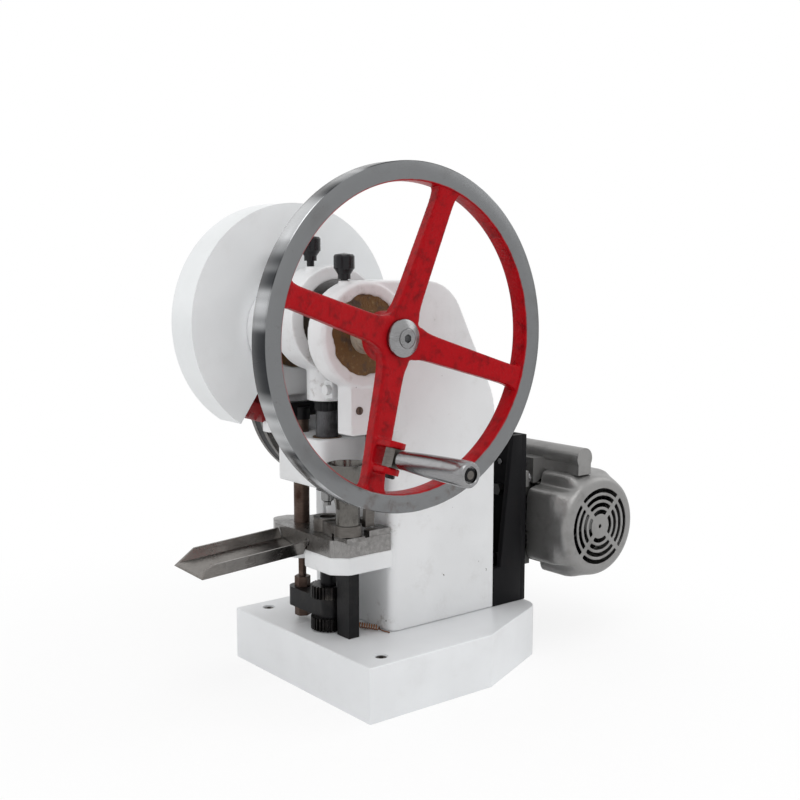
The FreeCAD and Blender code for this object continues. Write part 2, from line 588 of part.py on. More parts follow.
def make_lifter():
    """The follower loop round the lift cam, its rod, the yoke and the lower punch."""
    x0, x1 = "lift_cam_x", "lift_cam_x + lift_cam_w"
    top = "shaft_z + lift_cam_lobe + 24"
    wide = "loop_half + loop_bar"
    outer = box(x0, x1, f"-({wide})", wide, "lift_top - 2", top)
    inner = box(f"({x0}) - 1", f"({x1}) + 1", "-loop_half", "loop_half", "lift_top + 14", f"({top}) - 8")
    foot = rod("Z", "lift_top - 6", "lift_top + 8", "lift_rad + 1.5", ("lift_x", "0"))
    socket = rod("Z", "lift_top - 8", "lift_top + 1", "lift_rad + fit", ("lift_x", "0"))
    node("lift_frame", cut(fuse(outer, foot), inner, socket))
    roller_z = "shaft_z + lift_cam_lobe + 7.3"
    node("lift_roller", fuse(
        rod("X", f"({x0}) + 1", f"({x1}) - 1", "7", ("0", roller_z)),
        box(f"({x0}) + 3", f"({x1}) - 3", "-3", "3", roller_z, f"({top}) - 8")))
    node("lift_rod", fuse(rod("Z", "shelf_low", "lift_top + 1", "lift_rad", ("lift_x", "0")),
                          rod("Z", "base_h + 3", "shelf_low", "lift_tail_rad", ("lift_x", "0"))))
    yoke_low = "base_h + yoke_gap"
    yoke_top = f"{yoke_low} + yoke_h"
    hole = rod("Z", f"{yoke_low} - 1", f"{yoke_top} + 1", "lift_tail_rad + fit", ("lift_x", "0"))
    seat = rod("Z", f"{yoke_low} - 1", f"{yoke_top} + 1", "lift_rad + fit")
    bar = pad("XY", [
        ("yoke_left", "-yoke_half", "12"), ("yoke_right", "-yoke_half", "12"),
        ("yoke_right", "yoke_half", "12"), ("yoke_left", "yoke_half", "12"),
    ], yoke_low, yoke_top)
    node("lift_yoke", cut(bar, hole, seat))
    clamp = [(f"{yoke_top} + 0.1", f"{yoke_top} + 12"), ("base_h + 4", f"{yoke_low} - 0.1")]
    node("lift_rod_nuts", group(*[
        cut(nut("Z", low, high, "16", ("lift_x", "0")),
            rod("Z", f"({low}) - 1", f"({high}) + 1", "lift_tail_rad + fit", ("lift_x", "0")))
        for low, high in clamp]))
    node("lower_spindle", rod("Z", "base_h + 2", "shelf_top - 15", "lift_rad"))
    node("lower_punch", rod("Z", "shelf_top - 15", "plate_top - 8.3", "punch_rad"))
    for name, low in (("ejection_gear", f"{yoke_top} + 0.1"), ("filling_gear", "base_h + 1.8")):
        node(name, coded(name, ring_gear(num("low_gear_rad"), num("lift_rad + fit"), num("low_gear_h")),
                         ("0", "0", low)))


def ring_gear(radius, bore, height):
    """A flat toothed adjusting ring along Z."""
    teeth = 28
    step = 2 * math.pi / teeth
    root = radius * 0.87
    points = []
    for i in range(teeth):
        for share, reach in ((-0.3, root), (-0.2, radius), (0.2, radius), (0.3, root)):
            angle = (i + share) * step
            points.append(V(reach * math.cos(angle), reach * math.sin(angle), 0))
    disc = Part.Face(Part.makePolygon(points + [points[0]])).extrude(V(0, 0, height))
    return disc.cut(Part.makeCylinder(bore, height + 2, V(0, 0, -1)))


def make_lock_post():
    """The black post beside the adjusting gears that carries their lock plate."""
    node("gear_lock_post", fuse(
        box("low_gear_rad + 4", "low_gear_rad + 26", "-5", "9", "base_h", "shelf_low"),
        box("low_gear_rad + 2", "low_gear_rad + 5", "-5", "9", "shelf_low - 14", "shelf_low - 4")))


# ---------------------------------------------------------------- feed shoe, lever and chute

def make_shoe():
    """The pivot bracket, the swinging shoe with its round foot and arm, and the polished funnel."""
    centre = ("shoe_x", "shoe_y")
    bracket_top = "plate_top + 5"
    node("shoe_pivot", fuse(
        box("shoe_x - 9", "shoe_x + 15", "shoe_y - 12", "shoe_y + 12", "plate_top", bracket_top),
        rod("Z", "plate_top + 4", "plate_top + 11", "6", centre)))
    foot = rod("Z", "plate_top + slack", "plate_top + foot_h", "foot_rad")
    trunk = pad("XY", [
        ("2", "shoe_arm - 5"), ("shoe_x + 2", "shoe_y + shoe_arm - 4"),
        ("shoe_x - 2", "shoe_y - shoe_arm - 1"),
        ("-2", "-shoe_arm"),
    ], "plate_top + slack", "funnel_low + 1")
    collar = rod("Z", f"{bracket_top} + slack + 0.2", "funnel_low + 4", "funnel_small + 2", centre)
    well = rod("Z", "plate_top - 1", "plate_top + foot_h - 4", "foot_bore")
    through = rod("Z", "plate_top - 1", "plate_top + foot_h + 1", "punch_shank_rad + 2")
    socket = rod("Z", "plate_top", "funnel_low + 0.5", "6.3", centre)
    seat = rod("Z", "funnel_low + 0.5", "funnel_low + 15", "funnel_small + fit", centre)
    bracket_room = rod("Z", "plate_top - 9", f"{bracket_top} + slack", "20", centre)
    node("feed_shoe", cut(fuse(foot, trunk, collar), well, through, socket, seat, bracket_room))
    node("feed_funnel", revolve([
        ("0", "funnel_low + 0.6"), ("funnel_small", "funnel_low + 0.6"),
        ("funnel_small", "funnel_low + 22"),
        ("funnel_large", "funnel_top"), ("funnel_large - funnel_wall", "funnel_top"),
        ("funnel_small - funnel_wall", "funnel_low + 22"), ("funnel_small - funnel_wall", "funnel_low + 3"),
        ("0", "funnel_low + 3"),
    ], ("shoe_x", "shoe_y", "0")))


def make_feed_lever():
    """The long lever that the feed cam rocks, with its roller and its pivot on the right arm."""
    x0, x1 = "lever_x", "lever_x + lever_t"
    bar = pad("YZ", [
        ("lever_y - lever_lean - lever_half", "lever_low"),
        ("lever_y - lever_lean + lever_half", "lever_low"),
        ("lever_y + lever_half", "lever_pivot_z + 9", "5"),
        ("lever_y - lever_half", "lever_pivot_z + 9", "5"),
    ], x0, x1)
    behind = "lever_y - lever_lean"
    jog = box("lever_x - 9.5", x1, f"{behind} - lever_half", f"{behind} + lever_half", "lever_low - 8",
              "lever_low")
    toe = box("lever_x - 13", "lever_x - 7", "toe_y", f"{behind} + lever_half", "lever_low - 8",
              "lever_low")
    hole = rod("X", f"({x0}) - 1", f"({x1}) + 1", "5 + fit", ("lever_y", "lever_pivot_z"))
    roller_at = ("lever_y", "shaft_z")
    node("feed_lever", cut(fuse(bar, jog, toe), hole))
    node("lever_roller", rod("X", "feed_cam_x + 1", x0, "lever_y - feed_cam_base - 5", roller_at))
    node("lever_pivot_pin", rod("X", "lever_x - 3", "arm_right_in", "5", ("lever_y", "lever_pivot_z")))


def make_chute():
    """The steel slide below the die plate: a sloping trough of folded sheet with a pointed lip."""
    root, tip = "shelf_front - 0.2", "shelf_front - chute_len"
    top, fold = "chute_root_z + far_rise", "chute_root_z + fold_rise"
    floor, near = "chute_root_z - floor_drop", "chute_root_z + near_rise"
    trough = pad("XZ", [
        ("chute_left", top), ("chute_fold", fold), ("chute_low", floor), ("chute_right", near),
        ("chute_right - chute_t", near), ("chute_low - chute_t / 2", f"{floor} + chute_t"),
        ("chute_fold + chute_t * 0.8", f"{fold} + chute_t"), ("chute_left + chute_t", top),
    ], tip, root)
    skew = pad("XY", [
        ("chute_fold", tip), ("chute_right + 1", f"{tip} + tip_skew * 1.2"),
        ("chute_right + 1", f"{tip} - 2"),
        ("chute_fold", f"{tip} - 2"),
    ], f"{floor} - 2", f"{top} + 2")
    rake = pad("YZ", [
        (f"{tip} - 2", fold), (tip, fold), (f"{tip} + tip_rake", f"{top} + 1"),
        (f"{tip} - 2", f"{top} + 1"),
    ], "chute_left - 1", "chute_right + 2")
    slope = num("chute_slope")
    node("discharge_chute", turn(cut(trough, skew, rake), "X", slope, ("0", root, fold)))


# ---------------------------------------------------------------- guard, countershaft and motor

def make_guard():
    """The white drum over the main gear, open from its lower front edge to behind the pinion."""
    radius, wall = num("guard_rad"), num("wall")
    x0, x1 = num("guard_x"), num("col_left")
    open_from, open_to = -num("guard_open"), -num("guard_close")
    shell = Part.makeCylinder(radius, x1 - x0, V(x0, 0, 0), V(1, 0, 0))
    room = Part.makeCylinder(radius - wall, x1 - x0 - 2 * wall, V(x0 + wall, 0, 0), V(1, 0, 0))
    reach = radius * 1.6
    corners = [V(x0 - 1, 0, 0)]
    for share in range(5):
        angle = math.radians(open_from + (open_to - open_from) * share / 4)
        corners.append(V(x0 - 1, reach * math.cos(angle), reach * math.sin(angle)))
    wedge = Part.Face(Part.makePolygon(corners + [corners[0]])).extrude(V(x1 - x0 + 2, 0, 0))
    hole = Part.makeCylinder(num("shaft_rad + 8"), 2 * wall + 2,
                             V(x1 - wall - 1, -num("guard_y"), num("shaft_z - guard_z")),
                             V(1, 0, 0))
    hub = Part.makeCylinder(num("ring_bore + 4"), x1 - x0 + 2,
                            V(x0 - 1, -num("guard_y"), num("shaft_z - guard_z")), V(1, 0, 0))
    shape = shell.cut(room).cut(wedge.cut(hub)).cut(hole)
    keep = max(shape.Solids, key=lambda s: s.Volume)
    node("gear_guard", coded("gear_guard", keep, ("0", "guard_y", "guard_z")))


def vee_pulley(start, width, radius, groove, bore, hub, web):
    """A flat pulley along X with one vee groove, and a recessed web where it is large."""
    half = f"({start}) + ({width}) / 2"
    corners = [
        (bore, "0"), (hub, "0"), (hub, f"({width}) / 2 - ({web})"),
        (f"({radius}) - ({groove}) - 9", f"({width}) / 2 - ({web})"),
        (f"({radius}) - ({groove}) - 9", "0"), (radius, "0"), (radius, f"({width}) / 2 - belt_w / 2 - 0.4"),
        (f"({radius}) - ({groove}) - 1.5", f"({width}) / 2 - belt_w / 2 + 2.6"),
        (f"({radius}) - ({groove}) - 1.5", f"({width}) / 2 + belt_w / 2 - 2.6"),
        (radius, f"({width}) / 2 + belt_w / 2 + 0.4"), (radius, width),
        (f"({radius}) - ({groove}) - 9", width),
        (f"({radius}) - ({groove}) - 9", f"({width}) / 2 + ({web})"),
        (hub, f"({width}) / 2 + ({web})"), (hub, width), (bore, width),
    ]
    if web == "0":
        corners = [(bore, "0")] + corners[5:11] + [(bore, width)]
    return corners


def make_countershaft():
    """The countershaft in the column, with its belt pulley and nut."""
    axle = ("counter_y", "counter_z")
    node("countershaft", rod("X", "counter_x - 8", "counter_end - 1", "counter_rad", axle))
    node("belt_pulley", revolve(
        vee_pulley("pulley_x", "pulley_w", "pulley_rad", "belt_depth", "counter_rad + fit",
                   "counter_rad + 12", "4"),
        ("pulley_x", *axle), "X"))
    node("pulley_nut", cut(nut("X", "pulley_x - 8", "pulley_x - 0.1", "30", axle),
                           rod("X", "pulley_x - 9", "pulley_x", "counter_rad + fit", axle)))


def make_belt():
    """The vee belt in its running loop between the two pulleys."""
    y1, z1, r1 = num("counter_y"), num("counter_z"), num("pulley_rad - belt_depth + 0.6")
    y2, z2, r2 = num("motor_y"), num("motor_z"), num("motor_pulley_rad - belt_depth + 0.6")
    middle = num("pulley_x + pulley_w / 2")
    depth, wide = num("belt_depth") - 1, num("belt_w") / 2 - num("slack")
    span = math.hypot(y2 - y1, z2 - z1)
    lean = math.atan2(z2 - z1, y2 - y1)

    a, b = r1 + depth / 2, r2 + depth / 2
    tilt = math.acos((a - b) / span)

    def spot(y, z, radius, angle):
        return V(middle, y + radius * math.cos(angle), z + radius * math.sin(angle))
    p1, p2 = spot(y1, z1, a, lean + tilt), spot(y1, z1, a, lean - tilt)
    q1, q2 = spot(y2, z2, b, lean + tilt), spot(y2, z2, b, lean - tilt)
    far, near = spot(y1, z1, a, lean + math.pi), spot(y2, z2, b, lean)
    path = Part.Wire([Part.LineSegment(p2, q2).toShape(), Part.Arc(q2, near, q1).toShape(),
                      Part.LineSegment(q1, p1).toShape(), Part.Arc(p1, far, p2).toShape()])
    outward = (p2 - V(middle, y1, z1)).normalize()
    narrow = wide - depth * 0.3
    corners = [p2 + outward * (depth / 2 * side) + V(half * way, 0, 0)
               for side, half, way in ((1, wide, -1), (1, wide, 1), (-1, narrow, 1), (-1, narrow, -1))]
    profile = Part.makePolygon(corners + [corners[0]])
    shell = path.makePipeShell([profile], True, False)
    node("drive_belt", coded("drive_belt", shell))


def make_motor():
    """The motor with its finned body, end shield, fan cover, terminal box, rotor and fan."""
    line = ("motor_y", "motor_z")
    barrel = rod("X", "motor_rear", "motor_front", "motor_rad", line)
    fins = []
    count = 28
    for i in range(count):
        fin = box("motor_rear", "motor_front", "motor_y - 1.2", "motor_y + 1.2", "motor_z + motor_rad - 4",
                  "motor_z + fin_rad")
        fins.append(turn(fin, "X", 360 * i / count, ("0", *line)))
    feet = [box(x, f"{x} + foot_w", "bracket_y + bracket_t", "motor_y - motor_rad + 10",
                f"motor_z + {side} * foot_at - 10", f"motor_z + {side} * foot_at + 10")
            for x in FOOT_X for side in (-1, 1)]
    room = rod("X", "motor_rear - 1", "motor_front - 12", "motor_rad - 8", line)
    bore = rod("X", "motor_front - 13", "motor_front + 1", "rotor_rad + fit", line)
    node("motor_housing", cut(fuse(barrel, *fins, *feet), room, bore))
    depth = "motor_rear - motor_shield_x - 0.1"
    node("motor_end_shield", revolve([
        ("rotor_rad + fit", "0"), ("22", "0"), ("24", "3"), ("29", "14"), ("motor_rad - 6", "20"),
        ("motor_rad", "26"), ("motor_rad", depth), ("rotor_rad + fit", depth),
    ], ("motor_shield_x", *line), "X"))
    make_terminal_box()
    make_fan_cover()
    node("rotor_shaft", fuse(
        rod("X", "motor_pulley_x - 4", "cover_end - 20", "rotor_rad", line),
        rod("X", "motor_rear + 12", "motor_front - 26", "motor_rad - 14", line)))
    make_fan()
    node("motor_pulley", revolve(
        vee_pulley("motor_pulley_x", "motor_pulley_w", "motor_pulley_rad", "belt_depth", "rotor_rad + fit",
                   "20", "0"),
        ("motor_pulley_x", *line), "X"))
    node("motor_bolts", group(*[
        nut("Y", "bracket_y - 7", "bracket_y - 0.1", "13",
            (f"{x} + foot_w / 2", f"motor_z + {side} * foot_at"))
        for x in FOOT_X for side in (-1, 1)]))


def make_terminal_box():
    """The terminal box on top of the motor and the capacitor's housing that lies beside it."""
    lid = box("-45", "38", "motor_y - 46", "motor_y + 16", "motor_z + motor_rad - 8", "motor_z + box_top")
    axis = ("motor_y + capacitor_y", "motor_z + capacitor_z")
    can = rod("X", "capacitor_start", "capacitor_end", "capacitor_rad", axis)
    saddle = box("capacitor_start", "capacitor_end", f"{axis[0]} - capacitor_rad + 2",
                 f"{axis[0]} + capacitor_rad - 2",
                 "motor_z + bulge_top + 1", axis[1])
    node("terminal_box", cut(fuse(lid, can, saddle),
                             rod("X", "-46", "39", "fin_rad + slack", ("motor_y", "motor_z"))))


def make_fan_cover():
    """The pressed fan cover: a round cup with flat bulges on four sides and a slotted end."""
    line = ("motor_y", "motor_z")
    cup = revolve([
        ("0", "motor_front"), ("cover_rad", "motor_front"), ("cover_rad", "cover_end - 7"),
        ("cover_rad - 2.5", "cover_end - 2"), ("cover_rad - 8", "cover_end"), ("0", "cover_end"),
    ], ("0", *line), "X")
    bulges = [box("motor_front", "cover_end - 7", f"motor_y - {half}", f"motor_y + {half}",
                  f"motor_z - {reach}", f"motor_z + {reach}")
              for half, reach in (("bulge_half", "bulge_top"), ("bulge_side", "bulge_side_half"))]
    room = rod("X", "motor_front - 1", "cover_end - 8", "cover_rad - cover_t - 4", line)
    front = rod("X", "motor_front - 1", "cover_end - cover_t", "cover_rad - 10", line)
    rings = 4
    hoops = []
    for ring in range(rings):
        middle = f"slot_first + {ring} * slot_step"
        hoops.append(sleeve("X", "cover_end - cover_t - 2", "cover_end + 1", f"{middle} + slot_half",
                            f"{middle} - slot_half", line))
    bars = [turn(box("cover_end - cover_t - 3", "cover_end + 2", "motor_y - 3", "motor_y + 3",
                     "motor_z - cover_rad",
                     "motor_z + cover_rad"), "X", angle, ("0", *line)) for angle in (45, -45)]
    node("fan_cover", cut(fuse(cup, *bulges), room, front, cut(fuse(*hoops), *bars),
                          rod("X", "cover_end - 5", "cover_end + 1", "slot_half", line)))


def make_fan():
    """The six-bladed cooling fan on the rotor's end."""
    line = ("motor_y", "motor_z")
    back, front = "cover_end - 40", "cover_end - 22"
    blades = [turn(box(f"{back} + 2", front, "motor_y - 1", "motor_y + 1", "motor_z + 12",
                       "motor_z + motor_rad - 8"), "X", 60 * i, ("0", *line)) for i in range(6)]
    node("cooling_fan", cut(fuse(rod("X", back, f"{back} + 4", "motor_rad - 8", line),
                                 rod("X", back, front, "rotor_rad + 5", line), *blades),
                            rod("X", "motor_front", "cover_end", "rotor_rad + fit", line)))


def make_bracket():
    """The black plate behind the column that carries the motor, with its two side webs."""
    plate = box("bracket_left", "col_right", "bracket_y", "bracket_y + bracket_t", "base_h", "bracket_top")
    webs = [box(x, f"({x}) + 8", "col_rear", "bracket_y + 1", "base_h", "bracket_top")
            for x in ("bracket_left", "col_right - 8")]
    node("motor_bracket", fuse(plate, *webs))


def main():
    """Build every sub-part, check the document and write one STEP file for each node."""
    make_base()
    make_frame()
    make_bushes()
    node("bearing_oil_cups", group(*[oil_cup(x, "cup_y", "arm_top + 1") for x in CUP_X]))
    make_main_shaft()
    make_eccentric()
    make_cams()
    make_gears()
    make_handwheel()
    make_crank()
    make_strap()
    make_die()
    make_lifter()
    make_lock_post()
    make_shoe()
    make_feed_lever()
    make_chute()
    make_guard()
    make_countershaft()
    make_belt()
    make_motor()
    make_bracket()
    doc.recompute()
    for item in doc.Objects:
        if "Invalid" in item.State or "Error" in item.State:
            raise RuntimeError(f"{item.Label} failed: {item.State}")
    for item in NODES:
        if item.Shape.isNull() or not item.Shape.isValid():
            raise RuntimeError(f"{item.Label} has no valid shape")
    os.makedirs("parts", exist_ok=True)
    for item in NODES:
        item.Shape.exportStep(f"parts/{item.Label}.step")
        print(item.Label, len(item.Shape.Solids), round(item.Shape.Volume), item.Shape.BoundBox)


main()
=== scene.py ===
"""Looks of the single-punch tablet press: finishes for every CAD node, added detail, light and camera."""
import logging
import math
from dataclasses import dataclass, field
from enum import Enum
from typing import Callable, Iterable, Optional, Protocol, Sequence, Union

import bmesh
import bpy
from mathutils import Matrix, Vector


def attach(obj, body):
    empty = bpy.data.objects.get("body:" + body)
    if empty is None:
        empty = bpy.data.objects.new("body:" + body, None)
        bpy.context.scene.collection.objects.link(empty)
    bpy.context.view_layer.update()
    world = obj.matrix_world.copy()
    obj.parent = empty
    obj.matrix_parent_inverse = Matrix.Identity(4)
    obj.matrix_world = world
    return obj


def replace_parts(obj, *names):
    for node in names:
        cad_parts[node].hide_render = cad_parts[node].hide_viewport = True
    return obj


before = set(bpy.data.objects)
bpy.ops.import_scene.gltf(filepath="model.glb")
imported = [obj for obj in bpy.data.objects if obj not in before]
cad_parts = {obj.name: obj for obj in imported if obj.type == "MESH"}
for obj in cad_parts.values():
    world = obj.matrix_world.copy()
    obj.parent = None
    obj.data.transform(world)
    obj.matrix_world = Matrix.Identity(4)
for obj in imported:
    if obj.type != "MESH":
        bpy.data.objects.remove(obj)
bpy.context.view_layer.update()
LOG = logging.getLogger("tablet_press")
MM = 0.001
TURN = 2 * math.pi

Number = Union[int, float]
Colour = tuple[float, float, float]
Point = tuple[float, float, float]
Outline = Sequence[tuple[float, float]]


# ------------------------------------------------------------------ shader maths

class Val:
    """A node socket that takes part in Python arithmetic."""

    def __init__(self, tree: bpy.types.NodeTree, socket: bpy.types.NodeSocket) -> None:
        """Wrap one output socket of a tree."""
        self.tree = tree
        self.socket = socket

    def _join(self, operation: str, *terms: "Union[Val, Number]") -> "Val":
        """Add one Math node.

        Args:
            operation: The Math node's operation.
            terms: Its inputs, in order.

        Returns:
            The node's value.
        """
        node = self.tree.nodes.new("ShaderNodeMath")
        node.operation = operation
        for slot, term in zip(node.inputs, terms):
            if isinstance(term, Val):
                self.tree.links.new(term.socket, slot)
            else:
                slot.default_value = float(term)
        return Val(self.tree, node.outputs[0])

    def __add__(self, other: "Union[Val, Number]") -> "Val":
        """Sum."""
        return self._join("ADD", self, other)

    __radd__ = __add__

    def __sub__(self, other: "Union[Val, Number]") -> "Val":
        """Difference."""
        return self._join("SUBTRACT", self, other)

    def __rsub__(self, other: "Union[Val, Number]") -> "Val":
        """Difference from a number."""
        return self._join("SUBTRACT", other, self)

    def __mul__(self, other: "Union[Val, Number]") -> "Val":
        """Product."""
        return self._join("MULTIPLY", self, other)

    __rmul__ = __mul__

    def __pow__(self, other: "Union[Val, Number]") -> "Val":
        """Power."""
        return self._join("POWER", self, other)

    def wave(self) -> "Val":
        """Sine."""
        return self._join("SINE", self)

    def clamp(self) -> "Val":
        """Kept between 0 and 1."""
        value = self._join("ADD", self, 0.0)
        value.socket.node.use_clamp = True
        return value

    def step(self, low: float, high: float) -> "Val":
        """A smooth step.

        Args:
            low: Where the step starts.
            high: Where it ends; below low, the step falls.

        Returns:
            0 before low and 1 after high, smooth between.
        """
        node = self.tree.nodes.new("ShaderNodeMapRange")
        node.interpolation_type = "SMOOTHSTEP"
        flip = high < low
        node.inputs["From Min"].default_value = min(low, high)
        node.inputs["From Max"].default_value = max(low, high)
        node.inputs["To Min"].default_value = 1.0 if flip else 0.0
        node.inputs["To Max"].default_value = 0.0 if flip else 1.0
        self.tree.links.new(self.socket, node.inputs["Value"])
        return Val(self.tree, node.outputs["Result"])


Source = Union[Val, Number, Sequence[float]]


class Shader:
    """One material's node tree and the few calls that the finishes need."""

    COAT_ROUGHNESS: float = 0.12

    def __init__(self, name: str) -> None:
        """Make a material with a Principled shader.

        Args:
            name: The material's name.
        """
        self.material = bpy.data.materials.new(name)
        self.material.use_nodes = True
        self.tree = self.material.node_tree
        self.surface = self.tree.nodes["Principled BSDF"]
        place = self.tree.nodes.new("ShaderNodeTexCoord")
        self.place = Val(self.tree, place.outputs["Object"])
        split = self.node("ShaderNodeSeparateXYZ", Vector=self.place)
        self.x, self.y, self.z = (Val(self.tree, split.outputs[a]) for a in "XYZ")

    def node(self, kind: str, settings: Optional[dict] = None, **inputs: Source) -> bpy.types.Node:
        """Add a node.

        Args:
            kind: The node's type.
            settings: Properties that are set first.
            inputs: Values or links by socket name, with _ for a space.

        Returns:
            The new node.
        """
        item = self.tree.nodes.new(kind)
        for key, value in (settings or {}).items():
            setattr(item, key, value)
        for key, value in inputs.items():
            self.feed(item.inputs[key.replace("_", " ")], value)
        return item

    def feed(self, slot: bpy.types.NodeSocket, value: Source) -> None:
        """Link a value to a socket, or set it there.

        Args:
            slot: The socket.
            value: A value of the tree, a number, a vector or a colour.
        """
        if isinstance(value, Val):
            self.tree.links.new(value.socket, slot)
        elif isinstance(value, (int, float)):
            slot.default_value = float(value)
        else:
            slot.default_value = (*value, 1.0) if len(value) == 3 and slot.type == "RGBA" else tuple(value)

    def noise(self, scale: float, detail: float = 4.0, rough: float = 0.55,
              stretch: Optional[Colour] = None) -> Val:
        """Fractal noise over the object.

        Args:
            scale: Features per metre.
            detail: Octaves.
            rough: Strength of the fine octaves.
            stretch: Scale on each axis, for streaks.

        Returns:
            The noise, about 0.5.
        """
        place = self.place
        if stretch:
            mapped = self.node("ShaderNodeMapping", Vector=place, Scale=stretch)
            place = Val(self.tree, mapped.outputs[0])
        item = self.node("ShaderNodeTexNoise", Vector=place, Scale=scale, Detail=detail, Roughness=rough)
        return Val(self.tree, item.outputs[0])

    def mix(self, low: Source, high: Source, share: Source) -> Val:
        """Blend two colours.

        Args:
            low: Colour at share 0.
            high: Colour at share 1.
            share: The blend.

        Returns:
            The blended colour.
        """
        item = self.node("ShaderNodeMix", {"data_type": "RGBA"})
        self.feed(item.inputs[0], share)
        self.feed(item.inputs[6], low)
        self.feed(item.inputs[7], high)
        return Val(self.tree, item.outputs[2])

    def finish(self, colour: Source, rough: Source, metal: Source = 0.0, height: Optional[Val] = None,
               depth: float = 0.0002, coat: float = 0.0, shine: float = 0.5) -> bpy.types.Material:
        """Feed the shader.

        Args:
            colour: Base colour.
            rough: Roughness.
            metal: Metallic.
            height: Bump height from 0 to 1.
            depth: Metres that a height of 1 stands for.
            coat: Clear coat weight.
            shine: Level of the clear reflection.

        Returns:
            The material.
        """
        self.feed(self.surface.inputs["Base Color"], colour)
        self.feed(self.surface.inputs["Roughness"], rough)
        self.feed(self.surface.inputs["Metallic"], metal)
        self.surface.inputs["Coat Weight"].default_value = coat
        self.surface.inputs["Coat Roughness"].default_value = self.COAT_ROUGHNESS
        self.surface.inputs["Specular IOR Level"].default_value = shine
        if height is not None:
            bump = self.node("ShaderNodeBump", Height=height, Distance=depth)
            self.tree.links.new(bump.outputs[0], self.surface.inputs["Normal"])
        return self.material


# ------------------------------------------------------------------ finishes

class Finish(Protocol):
    """What every finish offers."""

    @property
    def name(self) -> str:
        """The material's name."""

    def make(self) -> bpy.types.Material:
        """Build the material."""


@dataclass(frozen=True)
class Enamel:
    """Paint on a casting: soft unevenness, faint grime, a few chips and, about listed places, oily dirt with
    painted shade.
    """

    name: str
    colour: Colour
    grime: Colour = (0.42, 0.40, 0.37)
    grime_share: float = 0.25
    chips: float = 0.0
    chip_colour: Colour = (0.10, 0.08, 0.07)
    gloss: float = 0.32
    texture: float = 0.00025
    scale: float = 60.0
    coat: float = 0.15
    shine: float = 0.5
    # Spots of oily dirt that also stand in partly for painted shade where parts meet.
    grime_and_shade_spots: tuple[tuple[float, float, float, float], ...] = ()
    grime_and_shade_colour: Colour = (0.20, 0.16, 0.13)
    grime_and_shade_share: float = 0.75
    chip_level: float = 0.735
    chip_edge: float = 0.02
    cloud_scale: float = 9.0
    dirt_scale: float = 26.0
    streak_scale: float = 75.0
    chip_scale: float = 95.0

    def grime_and_shade(self, s: Shader) -> Val:
        """Oily dirt and painted shade about the listed places where parts meet, each a centre and a radius
        in metres.

        Args:
            s: The shader that takes it.

        Returns:
            The share of dirt and painted shade.
        """
        total = s.noise(self.cloud_scale) * 0.0
        streaks = s.noise(self.streak_scale, 7.0, 0.7).step(0.50, 0.72)
        for x, y, z, reach in self.grime_and_shade_spots:
            across, along, up = s.x - x, s.y - y, s.z - z
            away = (across * across + along * along + up * up) ** 0.5
            total = total + away.step(reach, reach * 0.45) * streaks
        return (total * self.grime_and_shade_share).clamp()

    def make(self) -> bpy.types.Material:
        """Build the paint."""
        s = Shader(self.name)
        broad = s.noise(self.cloud_scale, 3.0)
        fine = s.noise(self.scale, 5.0, 0.6)
        dirt = (s.noise(self.dirt_scale, 6.0, 0.7).step(0.52, 0.78) * self.grime_share).clamp()
        tint = s.mix(self.colour, tuple(0.93 * c for c in self.colour), broad.step(0.35, 0.7))
        tint = s.mix(tint, self.grime, dirt)
        height = fine
        # Oily dirt with painted shade: brown smears about the bearing and other joints, partly real grime
        # and partly the shade where parts meet.
        if self.grime_and_shade_spots:
            tint = s.mix(tint, self.grime_and_shade_colour, self.grime_and_shade(s))
        if self.chips > 0:
            level = self.chip_level - 0.1 * self.chips
            chip = s.noise(self.chip_scale, 5.0, 0.62).step(level, level + self.chip_edge)
            tint = s.mix(tint, self.chip_colour, chip)
            height = fine - chip * 0.6
        rough = (fine * 0.16 + dirt * 0.5 + (self.gloss - 0.06)).clamp()
        return s.finish(tint, rough, 0.0, height, self.texture, coat=self.coat, shine=self.shine)


